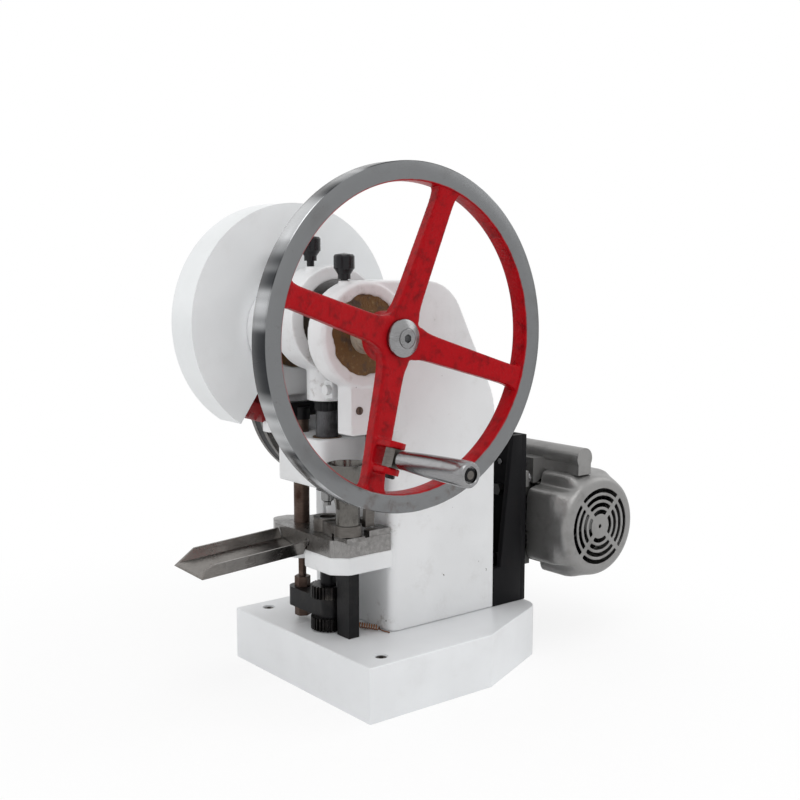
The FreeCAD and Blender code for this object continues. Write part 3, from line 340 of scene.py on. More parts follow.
@dataclass(frozen=True)
class WheelPaint:
    """Red enamel on a rough casting, with a turned steel rim outside one radius and one depth, and a painted
    reflection of bright and dark bands on its outer tread.
    """

    name: str
    axis_z: float
    steel_from: float
    tread_from: float
    red: Colour = (0.36, 0.001, 0.005)
    red_deep: Colour = (0.13, 0.001, 0.003)
    red_worn: Colour = (0.06, 0.012, 0.014)
    steel: Colour = (0.20, 0.205, 0.21)
    steel_spots: Colour = (0.11, 0.10, 0.095)
    steel_rust: Colour = (0.09, 0.06, 0.045)
    # Dark and bright tones of the painted reflection on the outer tread.
    tread_reflection_dark: Colour = (0.035, 0.037, 0.04)
    tread_reflection_bright: Colour = (0.55, 0.56, 0.57)
    rust_height: tuple[float, float] = (0.33, 0.22)
    ring_pitch: float = 9000.0
    bump: float = 0.0013

    def make(self) -> bpy.types.Material:
        """Build the two finishes with a radius mask."""
        s = Shader(self.name)
        down = s.z - self.axis_z
        radius = (s.y * s.y + down * down) ** 0.5
        grain = s.noise(240.0, 4.0, 0.6)
        lumps = s.noise(85.0, 5.0, 0.65)
        edge = s.noise(120.0, 3.0) * 0.0012
        outside = (radius + edge).step(self.steel_from - 0.0002, self.steel_from + 0.0010)
        rings = ((radius * self.ring_pitch + s.noise(14.0, 2.0) * 5.0).wave() * 0.5 + 0.5)
        spots = s.noise(160.0, 6.0, 0.7).step(0.60, 0.76)
        streak = s.noise(24.0, 5.0, 0.6)
        # Painted reflection: bright and dark bands across the outer tread stand in for the surroundings
        # mirrored in the turned steel.
        reflection_bands = s.noise(13.0, 3.0, 0.6, (0.02, 1.0, 1.0))
        tread = radius.step(self.tread_from - 0.0006, self.tread_from)
        steel = s.mix(self.steel, self.steel_spots, (spots * 0.5 + streak.step(0.5, 0.85) * 0.4).clamp())
        painted_reflection = s.mix(self.tread_reflection_dark, self.tread_reflection_bright, reflection_bands.step(0.40, 0.62))
        steel = s.mix(steel, painted_reflection, tread)
        low = s.z.step(*self.rust_height)
        steel = s.mix(steel, self.steel_rust, low * s.noise(60.0, 6.0, 0.7).step(0.5, 0.7) * 0.6)
        red = s.mix(self.red, self.red_deep, lumps.step(0.45, 0.72) * 0.75)
        worn = s.noise(150.0, 6.0, 0.7).step(0.70, 0.78)
        red = s.mix(red, self.red_worn, worn * 0.6)
        colour = s.mix(red, steel, outside)
        turned, painted = rings * 0.05 + spots * 0.2 + 0.24, grain * 0.14 + 0.24
        rough = (outside * turned + (1 - outside) * painted).clamp()
        height = (1 - outside) * (lumps * 0.8 + grain * 0.3) + outside * (rings * 0.04)
        return s.finish(colour, rough, outside, height, self.bump, shine=0.12)


@dataclass(frozen=True)
class Steel:
    """Turned, ground or brushed metal with stains and fine tool marks."""

    name: str
    colour: Colour = (0.46, 0.46, 0.47)
    stain: Colour = (0.12, 0.10, 0.09)
    stains: float = 0.35
    rough: float = 0.28
    streak: Colour = (1.0, 1.0, 14.0)
    marks: float = 180.0
    depth: float = 0.00005
    cloud_scale: float = 30.0

    def make(self) -> bpy.types.Material:
        """Build the metal."""
        s = Shader(self.name)
        lines = s.noise(self.marks, 3.0, 0.6, self.streak)
        cloud = s.noise(self.cloud_scale, 5.0, 0.65)
        stain = (cloud.step(0.48, 0.80) * self.stains).clamp()
        colour = s.mix(self.colour, tuple(0.75 * c for c in self.colour), lines.step(0.35, 0.7))
        colour = s.mix(colour, self.stain, stain)
        rough = (lines * 0.14 + stain * 0.35 + (self.rough - 0.05)).clamp()
        return s.finish(colour, rough, 1.0, lines, self.depth)


@dataclass(frozen=True)
class Oiled:
    """Blackened steel or dark iron with an oily film."""

    name: str
    colour: Colour = (0.035, 0.035, 0.038)
    light: Colour = (0.11, 0.10, 0.10)
    rough: float = 0.38
    metal: float = 0.6
    depth: float = 0.0002
    cloud_scale: float = 60.0
    grain_scale: float = 420.0

    def make(self) -> bpy.types.Material:
        """Build the dark metal."""
        s = Shader(self.name)
        cloud = s.noise(self.cloud_scale, 6.0, 0.65)
        grain = s.noise(self.grain_scale, 3.0)
        colour = s.mix(self.colour, self.light, cloud.step(0.45, 0.8) * 0.8)
        rough = (grain * 0.2 + cloud * 0.15 + (self.rough - 0.17)).clamp()
        return s.finish(colour, rough, self.metal, grain * 0.6 + cloud * 0.4, self.depth, shine=0.2)


@dataclass(frozen=True)
class Greased:
    """Bronze under old yellow-brown grease, lumpy and wet, with painted highlights on the lumps."""

    name: str
    bronze: Colour = (0.17, 0.095, 0.038)
    grease: Colour = (0.055, 0.032, 0.016)
    painted_glint: Colour = (0.50, 0.38, 0.20)
    share: float = 0.55
    bump: float = 0.0016
    lump_scale: float = 260.0
    patch_scale: float = 75.0

    def make(self) -> bpy.types.Material:
        """Build bronze with grease."""
        s = Shader(self.name)
        lumps = s.noise(self.lump_scale, 6.0, 0.7)
        edge = 0.62 - 0.3 * self.share
        patch = s.noise(self.patch_scale, 4.0, 0.6).step(edge, edge + 0.2)
        # Painted highlight: the lumps' tops are lightened as glints of light on the wet grease.
        painted_glint = lumps.step(0.55, 0.68)
        colour = s.mix(self.bronze, self.grease, patch)
        colour = s.mix(colour, self.painted_glint, painted_glint * 0.35)
        rough = (lumps * 0.4 + 0.15).clamp()
        return s.finish(colour, rough, (1 - patch) * 0.7, lumps, self.bump)


@dataclass(frozen=True)
class Moulded:
    """Moulded plastic or rubber with fine grain and some dust."""

    name: str
    colour: Colour = (0.022, 0.022, 0.024)
    dust: Colour = (0.16, 0.15, 0.14)
    rough: float = 0.4
    dusty: float = 0.3
    bump: float = 0.00006
    grain_scale: float = 700.0
    cloud_scale: float = 45.0

    def make(self) -> bpy.types.Material:
        """Build the plastic."""
        s = Shader(self.name)
        grain = s.noise(self.grain_scale, 3.0)
        cloud = s.noise(self.cloud_scale, 5.0, 0.65).step(0.5, 0.85) * self.dusty
        colour = s.mix(self.colour, self.dust, cloud)
        rough = (grain * 0.2 + cloud * 0.4 + (self.rough - 0.1)).clamp()
        return s.finish(colour, rough, 0.0, grain, self.bump, shine=0.3)


@dataclass(frozen=True)
class CastAluminium:
    """Silver motor paint over a sand-cast skin, with darker patches at random."""

    name: str
    colour: Colour = (0.50, 0.50, 0.49)
    dark: Colour = (0.26, 0.26, 0.25)
    rough: float = 0.42
    metal: float = 0.7
    bump: float = 0.0003
    grain_scale: float = 380.0
    cloud_scale: float = 34.0

    def make(self) -> bpy.types.Material:
        """Build the silver paint."""
        s = Shader(self.name)
        grain = s.noise(self.grain_scale, 4.0, 0.6)
        cloud = s.noise(self.cloud_scale, 5.0, 0.6)
        colour = s.mix(self.colour, self.dark, cloud.step(0.46, 0.82) * 0.7)
        rough = (grain * 0.2 + (self.rough - 0.1)).clamp()
        return s.finish(colour, rough, self.metal, grain, self.bump)


# The listed spots darken the paint about the bearing, the plate, the ram and the column's foot: oily dirt
# and partly painted shade where parts meet.
WHITE = Enamel("white_enamel", (0.79, 0.80, 0.81), chips=0.22, gloss=0.36, texture=0.0005,
               grime_and_shade_spots=((0.073, 0.0, 0.396, 0.064), (0.020, -0.005, 0.392, 0.064), (0.035, 0.043, 0.068, 0.028),
                     (0.045, 0.040, 0.180, 0.030), (0.0, 0.0, 0.33, 0.035)))
# Its spots near the column's foot are oily dirt and partly painted shade.
BASE_WHITE = Enamel("base_enamel", (0.80, 0.815, 0.83), grime_share=0.10, gloss=0.36, texture=0.0002,
                    scale=40.0, grime_and_shade_spots=((0.02, 0.03, 0.06, 0.035), (-0.02, 0.0, 0.06, 0.03)))
GUARD_WHITE = Enamel("guard_enamel", (0.78, 0.80, 0.81), grime_share=0.08, gloss=0.3, texture=0.00012,
                     scale=25.0)
GEAR_RED = Enamel("gear_red_enamel", (0.26, 0.008, 0.010), grime=(0.05, 0.02, 0.02), grime_share=0.7,
                  gloss=0.4)
SILVER = Steel("ground_steel", (0.27, 0.27, 0.27))
BRIGHT = Steel("polished_steel", (0.31, 0.31, 0.315), (0.05, 0.045, 0.04), stains=0.3, rough=0.16,
               marks=260.0)
PLATE = Steel("milled_plate", (0.27, 0.264, 0.258), (0.05, 0.04, 0.035), stains=0.8, rough=0.26,
              streak=(12.0, 1.0, 1.0))
SHEET = Steel("brushed_sheet", (0.24, 0.225, 0.21), (0.07, 0.055, 0.045), stains=0.6, rough=0.2,
              streak=(18.0, 1.0, 1.0), marks=120.0)
WORN = Steel("worn_steel", (0.15, 0.14, 0.13), (0.05, 0.038, 0.03), stains=0.8, rough=0.34, marks=90.0,
             depth=0.0001)
FUNNEL = Steel("turned_steel", (0.155, 0.148, 0.138), (0.02, 0.018, 0.016), stains=0.9, rough=0.15,
               streak=(9.0, 9.0, 1.0))
RUSTED = Steel("rusty_steel", (0.12, 0.085, 0.07), (0.05, 0.02, 0.013), stains=0.95, rough=0.42, marks=140.0,
               depth=0.00015)
SHAFT = Enamel("greased_shaft", (0.46, 0.42, 0.34), grime=(0.06, 0.035, 0.02), grime_share=0.9, chips=0.5,
               chip_colour=(0.05, 0.03, 0.02), gloss=0.3, texture=0.0012)
COPPER = Steel("copper_wire", (0.36, 0.17, 0.09), (0.06, 0.03, 0.02), stains=0.7, rough=0.34)
IRON = Oiled("machined_iron", (0.14, 0.135, 0.13), (0.28, 0.27, 0.26), rough=0.42, metal=0.8)
BLACK = Oiled("black_oxide", (0.006, 0.006, 0.007), (0.022, 0.02, 0.019), rough=0.4, metal=0.2)
GEAR_STEEL = Oiled("oily_gear", (0.012, 0.011, 0.011), (0.11, 0.10, 0.09), rough=0.3, metal=0.85)
NUT_BLACK = Oiled("fluted_black", (0.012, 0.012, 0.013), (0.04, 0.038, 0.038), rough=0.4, metal=0.4)
RAM_STEEL = Steel("ram_steel", (0.105, 0.105, 0.11), (0.03, 0.03, 0.03), stains=0.8, rough=0.36,
                  streak=(10.0, 10.0, 1.0), marks=160.0)
BRACKET = Enamel("bracket_enamel", (0.006, 0.006, 0.007), grime=(0.022, 0.018, 0.017), grime_share=0.5,
                 gloss=0.5, coat=0.0, shine=0.12)
BRONZE = Greased("greasy_bronze")
RUBBER = Moulded("belt_rubber", rough=0.6)
PLASTIC = Moulded("black_plastic", (0.006, 0.006, 0.008), rough=0.24, dusty=0.08)
MOTOR = CastAluminium("motor_silver", (0.27, 0.267, 0.263), (0.14, 0.136, 0.132), rough=0.34)
# Painted shade: a darker copy of the silver paint for the motor housing, whose fins lie in shadow.
MOTOR_SHADED = CastAluminium("motor_painted_shade", (0.12, 0.12, 0.115), (0.03, 0.03, 0.03))

NODE_FINISH: dict[str, Finish] = {
    "base_casting": BASE_WHITE, "frame_casting": WHITE, "gear_guard": GUARD_WHITE, "eccentric_strap": WHITE,
    "main_bearing_bushes": BRONZE, "ram_guide_bush": BRONZE, "countershaft_bushes": BRONZE,
    "bearing_oil_cups": PLASTIC, "strap_oil_cup": PLASTIC, "main_gear": GEAR_RED, "belt_pulley": IRON,
    "wheel_cap_nut": BRIGHT, "crank_grip": BRIGHT, "crank_end_washer": BLACK, "crank_spindle": WORN,
    "die_plate": PLATE, "discharge_chute": SHEET, "feed_funnel": FUNNEL, "feed_shoe": WORN,
    "shoe_pivot": PLATE,
    "lift_frame": BLACK, "lift_yoke": BLACK, "gear_lock_post": BLACK, "strap_clamp_screw": WHITE,
    "ram_lock_nut": NUT_BLACK, "punch_set_screw": BLACK, "die_lock_screw": BRIGHT, "lever_pivot_pin": BLACK,
    # The motor housing takes the darker copy of the silver paint as painted shade on its fins.
    "motor_pulley": IRON, "drive_belt": RUBBER, "motor_housing": MOTOR_SHADED, "motor_end_shield": MOTOR,
    "fan_cover": MOTOR, "terminal_box": MOTOR, "cooling_fan": PLASTIC, "motor_bracket": BRACKET,
    "ejection_gear": GEAR_STEEL, "filling_gear": GEAR_STEEL, "feed_lever": WORN, "ram": RAM_STEEL,
    "adjusting_screw": WORN, "lower_spindle": BLACK, "lift_rod": RUSTED, "lift_rod_nuts": RUSTED,
    "main_shaft": SHAFT,
}


class FinishBook:
    """Makes each finish once and gives it out by its own name."""

    def __init__(self) -> None:
        """Start with no finishes."""
        self.made: dict[str, bpy.types.Material] = {}

    def get(self, finish: Finish) -> bpy.types.Material:
        """The material of a finish, built on first use."""
        if finish.name not in self.made:
            self.made[finish.name] = finish.make()
        return self.made[finish.name]

    def dress(self, item: bpy.types.Object, finish: Finish) -> None:
        """Put one finish on every slot of an object.

        Args:
            item: The object.
            finish: Its finish.
        """
        material = self.get(finish)
        if not item.material_slots:
            item.data.materials.append(material)
        for slot in item.material_slots:
            slot.material = material


BOOK = FinishBook()
WHEEL_PAINT = WheelPaint("handwheel_paint", axis_z=0.396, steel_from=0.157, tread_from=0.1745)


# ------------------------------------------------------------------ mesh tools

class Axis(Enum):
    """Row axes, each with the turn that takes +Z to it."""

    X = Matrix.Rotation(math.pi / 2, 4, "Y")
    Y = Matrix.Rotation(-math.pi / 2, 4, "X")
    Z = Matrix.Identity(4)
    MINUS_Y = Matrix.Rotation(math.pi / 2, 4, "X")


def place_at(point: Sequence[float], axis: Axis = Axis.Z) -> Matrix:
    """The matrix that stands a shape at a point in millimetres, along an axis."""
    return Matrix.Translation(Vector(point) * MM) @ axis.value


# Takes an outline drawn in Y and Z, and heights along X, to the row frame.
SIDE_ON = Matrix(((0, 0, 1, 0), (1, 0, 0, 0), (0, 1, 0, 0), (0, 0, 0, 1)))

Rings = list[list[bmesh.types.BMVert]]


class Forge:
    """Builds meshes in millimetres and adds them as pieces that ride on a body."""

    SHARP: float = 30.0
    WELD: float = 2e-6

    def __init__(self) -> None:
        """Start an empty mesh."""
        self.mesh = bmesh.new()

    def skin(self, rings: Rings, loop: bool = False, ends: bool = False) -> "Forge":
        """Join rings of vertices into walls.

        Args:
            rings: Rings of as many vertices each, every ring closed on itself.
            loop: True joins the last ring to the first.
            ends: True closes the first and the last ring with a face each.

        Returns:
            This forge.
        """
        for here, there in zip(rings, rings[1:] + (rings[:1] if loop else [])):
            for k in range(len(here)):
                m = (k + 1) % len(here)
                self.mesh.faces.new((here[k], here[m], there[m], there[k]))
        if ends:
            self.mesh.faces.new(rings[0][::-1])
            self.mesh.faces.new(rings[-1])
        return self

    def lathe(self, profile: Outline, matrix: Matrix, steps: int = 48, closed: bool = False) -> "Forge":
        """Turn an outline of radius and height about the local Z axis.

        Args:
            profile: Radius and height pairs in millimetres.
            matrix: Where the turning stands.
            steps: Steps round the axis.
            closed: True joins the outline's last point to its first.

        Returns:
            This forge.
        """
        rows = []
        for i in range(steps):
            angle = TURN * i / steps
            row = []
            for radius, height in profile:
                point = Vector((radius * math.cos(angle), radius * math.sin(angle), height)) * MM
                row.append(self.mesh.verts.new(matrix @ point))
            rows.append(row)
        count = len(profile) if closed else len(profile) - 1
        for here, there in zip(rows, rows[1:] + rows[:1]):
            for k in range(count):
                m = (k + 1) % len(profile)
                self.mesh.faces.new((here[k], there[k], there[m], here[m]))
        return self

    def prism(self, outline: Outline, low: float, high: float, matrix: Matrix) -> "Forge":
        """Extrude a closed outline along the local Z axis.

        Args:
            outline: X and Y pairs in millimetres.
            low: Start height.
            high: End height.
            matrix: Where it stands.

        Returns:
            This forge.
        """
        return self.skin([[self.mesh.verts.new(matrix @ (Vector((x, y, height)) * MM)) for x, y in outline]
                          for height in (low, high)], ends=True)

    def tube(self, points: Sequence[Vector], radius: float, sides: int) -> "Forge":
        """Sweep a round section along points in millimetres.

        Args:
            points: The centre line.
            radius: Radius of the section.
            sides: Sides of the section.

        Returns:
            This forge.
        """
        rings = []
        previous = None
        for i, point in enumerate(points):
            ahead = points[min(i + 1, len(points) - 1)] - points[max(i - 1, 0)]
            ahead.normalize()
            if previous is None:
                across = ahead.orthogonal().normalized()
            else:
                across = (previous - ahead * previous.dot(ahead)).normalized()
            previous = across
            up = ahead.cross(across)
            ring = []
            for k in range(sides):
                angle = TURN * k / sides
                spot = point + across * (radius * math.cos(angle)) + up * (radius * math.sin(angle))
                ring.append(self.mesh.verts.new(spot * MM))
            rings.append(ring)
        return self.skin(rings, ends=True)

    def socket(self, outer: float, flats: float, top: float, depth: float, matrix: Matrix) -> "Forge":
        """Close a round opening with a flat ring and a hexagonal recess.

        Args:
            outer: Radius of the opening.
            flats: Width of the hexagon across its flats.
            top: Height of the ring.
            depth: Depth of the recess.
            matrix: Where it stands.

        Returns:
            This forge.
        """
        steps = 48
        rows: Rings = [[], [], []]
        for i in range(steps):
            angle = TURN * i / steps
            inner = flats / 2 / math.cos((angle % (TURN / 6)) - TURN / 12)
            for row, radius, height in zip(rows, (outer, inner, inner), (top, top, top - depth)):
                point = Vector((radius * math.cos(angle), radius * math.sin(angle), height)) * MM
                row.append(self.mesh.verts.new(matrix @ point))
        self.skin(rows)
        self.mesh.faces.new(rows[2])
        return self

    def bevel(self, width: float) -> "Forge":
        """Round every edge sharper than SHARP degrees, by a width in millimetres."""
        bmesh.ops.recalc_face_normals(self.mesh, faces=self.mesh.faces)
        limit = math.radians(self.SHARP)
        sharp = [e for e in self.mesh.edges if e.is_manifold and e.calc_face_angle(0.0) > limit]
        bmesh.ops.bevel(self.mesh, geom=sharp, offset=width * MM, segments=2, profile=0.5,
                        affect="EDGES", clamp_overlap=True)
        return self

    def add(self, name: str, body: str, finish: Finish, slot: str, smooth: float = 40.0) -> bpy.types.Object:
        """Turn the mesh into a piece.

        Args:
            name: The piece's name.
            body: The CAD body it rides on.
            finish: Its finish.
            slot: The record's material slot; not used.
            smooth: Edges sharper than this many degrees stay crisp.

        Returns:
            The new object.
        """
        bmesh.ops.remove_doubles(self.mesh, verts=self.mesh.verts, dist=self.WELD)
        bmesh.ops.recalc_face_normals(self.mesh, faces=self.mesh.faces)
        limit = math.radians(smooth)
        for face in self.mesh.faces:
            face.smooth = True
        for edge in self.mesh.edges:
            edge.smooth = edge.is_manifold and edge.calc_face_angle(0.0) < limit
        data = bpy.data.meshes.new(name)
        self.mesh.to_mesh(data)
        self.mesh.free()
        item = bpy.data.objects.new(name, data)
        bpy.context.scene.collection.objects.link(item)
        BOOK.dress(item, finish)
        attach(item, body)
        LOG.info("piece %s rides on %s", name, body)
        return item


def hexagon(across_flats: float) -> Outline:
    """Corners of a hexagon, in millimetres."""
    radius = across_flats / math.sqrt(3)
    return [(radius * math.cos(TURN * k / 6), radius * math.sin(TURN * k / 6)) for k in range(6)]


class HeadKind(Enum):
    """Screw heads that the press carries."""

    HEX = "hex"
    SOCKET = "socket"
    SLOTTED = "slotted"


@dataclass
class Screw:
    """One screw head with its washer, standing on a face; its measures are shares of the thread's size."""

    kind: HeadKind
    size: float
    washer: bool = False

    def build(self, forge: Forge, matrix: Matrix) -> None:
        """Add the head.

        Args:
            forge: The forge that takes it.
            matrix: Its foot and its axis.
        """
        size, base = self.size, 0.0
        if self.washer:
            outer, inner, base = size * 1.05, size * 0.3, size * 0.13
            forge.lathe([(inner, 0), (outer, 0), (outer, base), (inner, base)], matrix, 28, closed=True)
        radius, tall = size * 0.82, size * 0.72
        top = base + tall
        if self.kind is HeadKind.HEX:
            shoulder = base + tall * 0.85
            forge.prism(hexagon(size * 1.7), base, base + tall * 0.86, matrix)
            forge.lathe([(0.001, top), (size * 0.72, top), (size * 0.84, shoulder), (0.001, shoulder)],
                        matrix, 24)
        elif self.kind is HeadKind.SOCKET:
            edge = radius * 0.93
            forge.lathe([(0.0, base), (radius, base), (radius, base + tall * 0.9), (edge, top)], matrix)
            forge.socket(edge, size * 0.78, top, tall * 0.6, matrix)
        else:
            start = math.asin(size * 0.12 / radius)
            angles = [start + (math.pi - 2 * start) * k / 14 for k in range(15)]
            for side in (-1, 1):
                half = [(radius * math.cos(a), side * radius * math.sin(a)) for a in angles]
                forge.prism(half, base + tall * 0.15, base + tall * 0.45, matrix)
            floor = base + tall * 0.2
            forge.lathe([(0.001, floor), (radius, floor), (radius, base), (0.001, base)], matrix, 24)


def screws(name: str, body: str, kind: HeadKind, size: float, spots: Iterable[tuple[Sequence[float], Axis]],
           finish: Finish, slot: str, washer: bool = False) -> bpy.types.Object:
    """A set of like screws as one piece.

    Args:
        name: The piece's name.
        body: The body they ride on.
        kind: The head.
        size: Thread size in millimetres.
        spots: Points and outward axes.
        finish: Their finish.
        slot: The record's material slot.
        washer: True puts a washer under each head.

    Returns:
        The piece.
    """
    forge = Forge()
    for point, axis in spots:
        Screw(kind, size, washer).build(forge, place_at(point, axis))
    return forge.add(name, body, finish, slot)


def coil(turns: float, radius: float, length: float, matrix: Matrix) -> list[Vector]:
    """Points of a helix that climbs the local Z axis.

    Args:
        turns: Turns of wire.
        radius: Radius in millimetres.
        length: Height of the helix in millimetres.
        matrix: Where its foot stands.

    Returns:
        Points in millimetres of the row frame.
    """
    count = int(turns * 20)
    points = []
    for i in range(count + 1):
        angle = TURN * turns * i / count
        point = Vector((radius * math.cos(angle), radius * math.sin(angle), length * i / count))
        points.append((matrix @ (point * MM)) / MM)
    return points


def apply_modifiers(item: bpy.types.Object) -> None:
    """Bake an object's modifiers into its mesh.

    Args:
        item: The object.
    """
    depsgraph = bpy.context.evaluated_depsgraph_get()
    data = bpy.data.meshes.new_from_object(item.evaluated_get(depsgraph), depsgraph=depsgraph)
    old = item.data
    item.modifiers.clear()
    item.data = data
    bpy.data.meshes.remove(old)


def cast_skin(item: bpy.types.Object, voxel: float, easing: int) -> None:
    """Blend a piece's shells into one skin and round its edges.

    Args:
        item: The piece.
        voxel: Cell of the new skin in millimetres.
        easing: Rounds of smoothing.
    """
    remesh = item.modifiers.new("skin", "REMESH")
    remesh.mode = "VOXEL"
    remesh.voxel_size = voxel * MM
    remesh.use_smooth_shade = True
    ease = item.modifiers.new("ease", "SMOOTH")
    ease.factor = 0.5
    ease.iterations = easing
    apply_modifiers(item)


# ------------------------------------------------------------------ pieces

@dataclass
class Handwheel:
    """The cast wheel: a turned rim and a spider with swelling spokes, blended like a casting."""

    axis_z: float = 396.0
    rim_outer: float = 175.0
    rim_inner: float = 155.5
    rim_back: float = 130.3
    rim_front: float = 153.0
    spoke_back: float = 118.0
    spoke_front: float = 132.0
    spoke_start: float = 14.0
    spoke_root: float = 14.0
    spoke_tip: float = 10.8
    spoke_depth: float = 7.5
    dish: float = 18.0
    dish_from: float = 22.0
    corner: float = 2.0
    hub_back: float = 98.0
    hub_rad: float = 26.6
    bore: float = 17.1
    lug_radius: float = 120.0
    lug_offset: float = 13.0
    lug_thick: float = 7.0
    pin_x: float = 167.0
    cap_rad: float = 19.7
    cap_rise: float = 10.3
    cap_flats: float = 8.2
    old_shaft_end: float = 139.0
    first_spoke: float = 72.0
    voxel: float = 1.4

    def rim(self) -> None:
        """Turn the rim, with eased edges and a rounded inner face."""
        back, front, outer, inner = self.rim_back, self.rim_front, self.rim_outer, self.rim_inner
        profile = [
            (outer - 1.0, back), (outer - 0.3, back + 0.3), (outer, back + 1.0), (outer, front - 1.0),
            (outer - 0.3, front - 0.3), (outer - 1.0, front), (inner + 2.6, front),
            (inner + 1.2, front - 0.5), (inner + 0.3, front - 1.6), (inner, front - 3.2),
            (inner - 0.4, (front + back) / 2), (inner, back + 3.2), (inner + 0.3, back + 1.6),
            (inner + 1.2, back + 0.5), (inner + 2.6, back),
        ]
        matrix = place_at((0, 0, self.axis_z), Axis.X)
        Forge().lathe(profile, matrix, 192, closed=True).add(
            "wheel_rim", "drive_shaft", WHEEL_PAINT, "red_paint", 50.0)

    def crank_place(self) -> Matrix:
        """The turn that takes a point at X and a radius along Y to the crank's spoke."""
        lift = Matrix.Translation(Vector((0, 0, self.axis_z)) * MM)
        return lift @ Matrix.Rotation(math.radians(self.first_spoke + 180.0), 4, "X")

    def spoke_section(self, radius: float, end: float) -> tuple[float, float]:
        """Half width and half depth of a spoke, which flares into the hub and the rim.

        Args:
            radius: Distance from the wheel's axis.
            end: Distance at which the spoke ends inside the rim.

        Returns:
            Half width across the spoke and half depth along the axis.
        """
        out = max(0.0, (radius - self.dish_from) / (end - self.dish_from))
        straight = self.spoke_root + (self.spoke_tip - self.spoke_root) * out
        hub_flare = 3.5 * math.exp(-max(0.0, radius - 24.0) / 6.0)
        rim_flare = 5.0 * math.exp(-(end - radius) / 4.5)
        return straight + hub_flare + rim_flare, self.spoke_depth + 0.8 * math.exp(-(end - radius) / 6.0)

    def blade(self, forge: Forge, angle: float) -> None:
        """Add one dished spoke with a rounded-box section.

        Args:
            forge: The forge that takes it.
            angle: The spoke's turn about the axis.
        """
        rows, steps, end = 26, 4, self.rim_inner + 1.5
        radial = Vector((0.0, math.cos(angle), math.sin(angle)))
        tangent = Vector((0.0, -math.sin(angle), math.cos(angle)))
        corners = ((1, 1, 0.0), (-1, 1, 0.25), (-1, -1, 0.5), (1, -1, 0.75))
        rings = []
        for i in range(rows + 1):
            radius = self.spoke_start + (end - self.spoke_start) * i / rows
            out = max(0.0, (radius - self.dish_from) / (end - self.dish_from))
            x = (self.spoke_back + self.spoke_front) / 2 + self.dish * out
            point = Vector((x, 0.0, self.axis_z)) + radial * radius
            half, deep = self.spoke_section(radius, end)
            ring = []
            for across, away, part in corners:
                for k in range(steps + 1):
                    a = TURN * (part + 0.25 * k / steps)
                    wide = across * (half - self.corner) + self.corner * math.cos(a)
                    tall = away * (deep - self.corner) + self.corner * math.sin(a)
                    ring.append(forge.mesh.verts.new((point + tangent * wide + Vector((tall, 0, 0))) * MM))
            rings.append(ring)
        forge.skin(rings, ends=True)

    def spider(self) -> None:
        """Blend hub, spokes and crank lugs into one cast skin."""
        forge = Forge()
        for quarter in range(4):
            self.blade(forge, math.radians(self.first_spoke + 90.0 * quarter))
        length, hub, swell = self.spoke_front - self.hub_back, self.hub_rad, self.hub_rad + 0.8
        forge.lathe([
            (self.bore, 0), (hub - 1.5, 0), (hub, 1.5), (hub, 14.0), (swell, 20.0), (swell, length - 3.0),
            (hub - 1.0, length - 0.4), (24.0, length), (self.bore, length),
        ], place_at((self.hub_back, 0, self.axis_z), Axis.X), 72, closed=True)
        self.lugs(forge)
        item = forge.add("wheel_spider", "drive_shaft", WHEEL_PAINT, "red_paint", 60.0)
        cast_skin(item, self.voxel, 3)
        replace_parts(item, "handwheel")

    def lugs(self, forge: Forge) -> None:
        """Add the two fork lugs of the crank.

        Args:
            forge: The forge that takes them.
        """
        place = self.crank_place()
        outline = [(140.0, -9.0), (167.0, -9.0), (172.5, -6.0), (174.0, 0.0), (172.5, 6.0), (167.0, 9.0),
                   (140.0, 9.0)]
        for side in (-1, 1):
            centre = self.lug_radius + side * self.lug_offset
            forge.skin([[forge.mesh.verts.new(place @ (Vector((x, radial, t)) * MM)) for x, t in outline]
                        for radial in (centre - self.lug_thick / 2, centre + self.lug_thick / 2)], ends=True)

    def cap(self) -> None:
        """Turn the domed cap with its hexagonal recess, and the shaft end that it closes."""
        matrix = place_at((self.spoke_front, 0, self.axis_z), Axis.X)
        rad, rise, mouth = self.cap_rad, self.cap_rise, 6.2
        forge = Forge().lathe([
            (0.0, 0.1), (rad - 0.4, 0.1), (rad, 0.5), (rad, 4.0), (rad - 0.5, 5.0), (11.2, 9.3), (10.5, 9.5),
            (10.3, 9.1), (9.8, 9.1), (9.6, 9.9), (9.0, rise), (mouth, rise)], matrix, 96)
        forge.socket(mouth, self.cap_flats, rise, 6.0, matrix)
        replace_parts(forge.add("wheel_cap", "drive_shaft", BRIGHT, "steel", 24.0), "wheel_cap_nut")
        shaft = node_copy("main_shaft", "main_shaft_end", "drive_shaft", SHAFT)
        for vertex in shaft.data.vertices:
            if vertex.co.x > self.old_shaft_end * MM:
                vertex.co.x = (self.spoke_front - 1.0) * MM

    def pin_nut(self) -> None:
        """Add the black nut under the crank's pin."""
        place = Matrix.Translation(Vector((self.pin_x, self.lug_radius + 16.6, 0)) * MM)
        forge = Forge()
        Screw(HeadKind.HEX, 5.0).build(forge, self.crank_place() @ place @ Axis.Y.value)
        forge.add("crank_pin_nut", "drive_shaft", BLACK, "black_oxide")

    def build(self) -> None:
        """Build the wheel."""
        self.rim()
        self.spider()
        self.cap()
        self.pin_nut()


def node_copy(node: str, name: str, body: str, finish: Finish) -> bpy.types.Object:
    """Copy a CAD node's mesh into a piece that stands for it.

    Args:
        node: The CAD node.
        name: The new piece's name.
        body: The body that it rides on.
        finish: Its finish.

    Returns:
        The piece, in the row frame.
    """
    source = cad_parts[node]
    data = source.data.copy()
    data.transform(source.matrix_world)
    data.materials.clear()
    item = bpy.data.objects.new(name, data)
    bpy.context.scene.collection.objects.link(item)
    BOOK.dress(item, finish)
    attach(item, body)
    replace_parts(item, node)
    return item


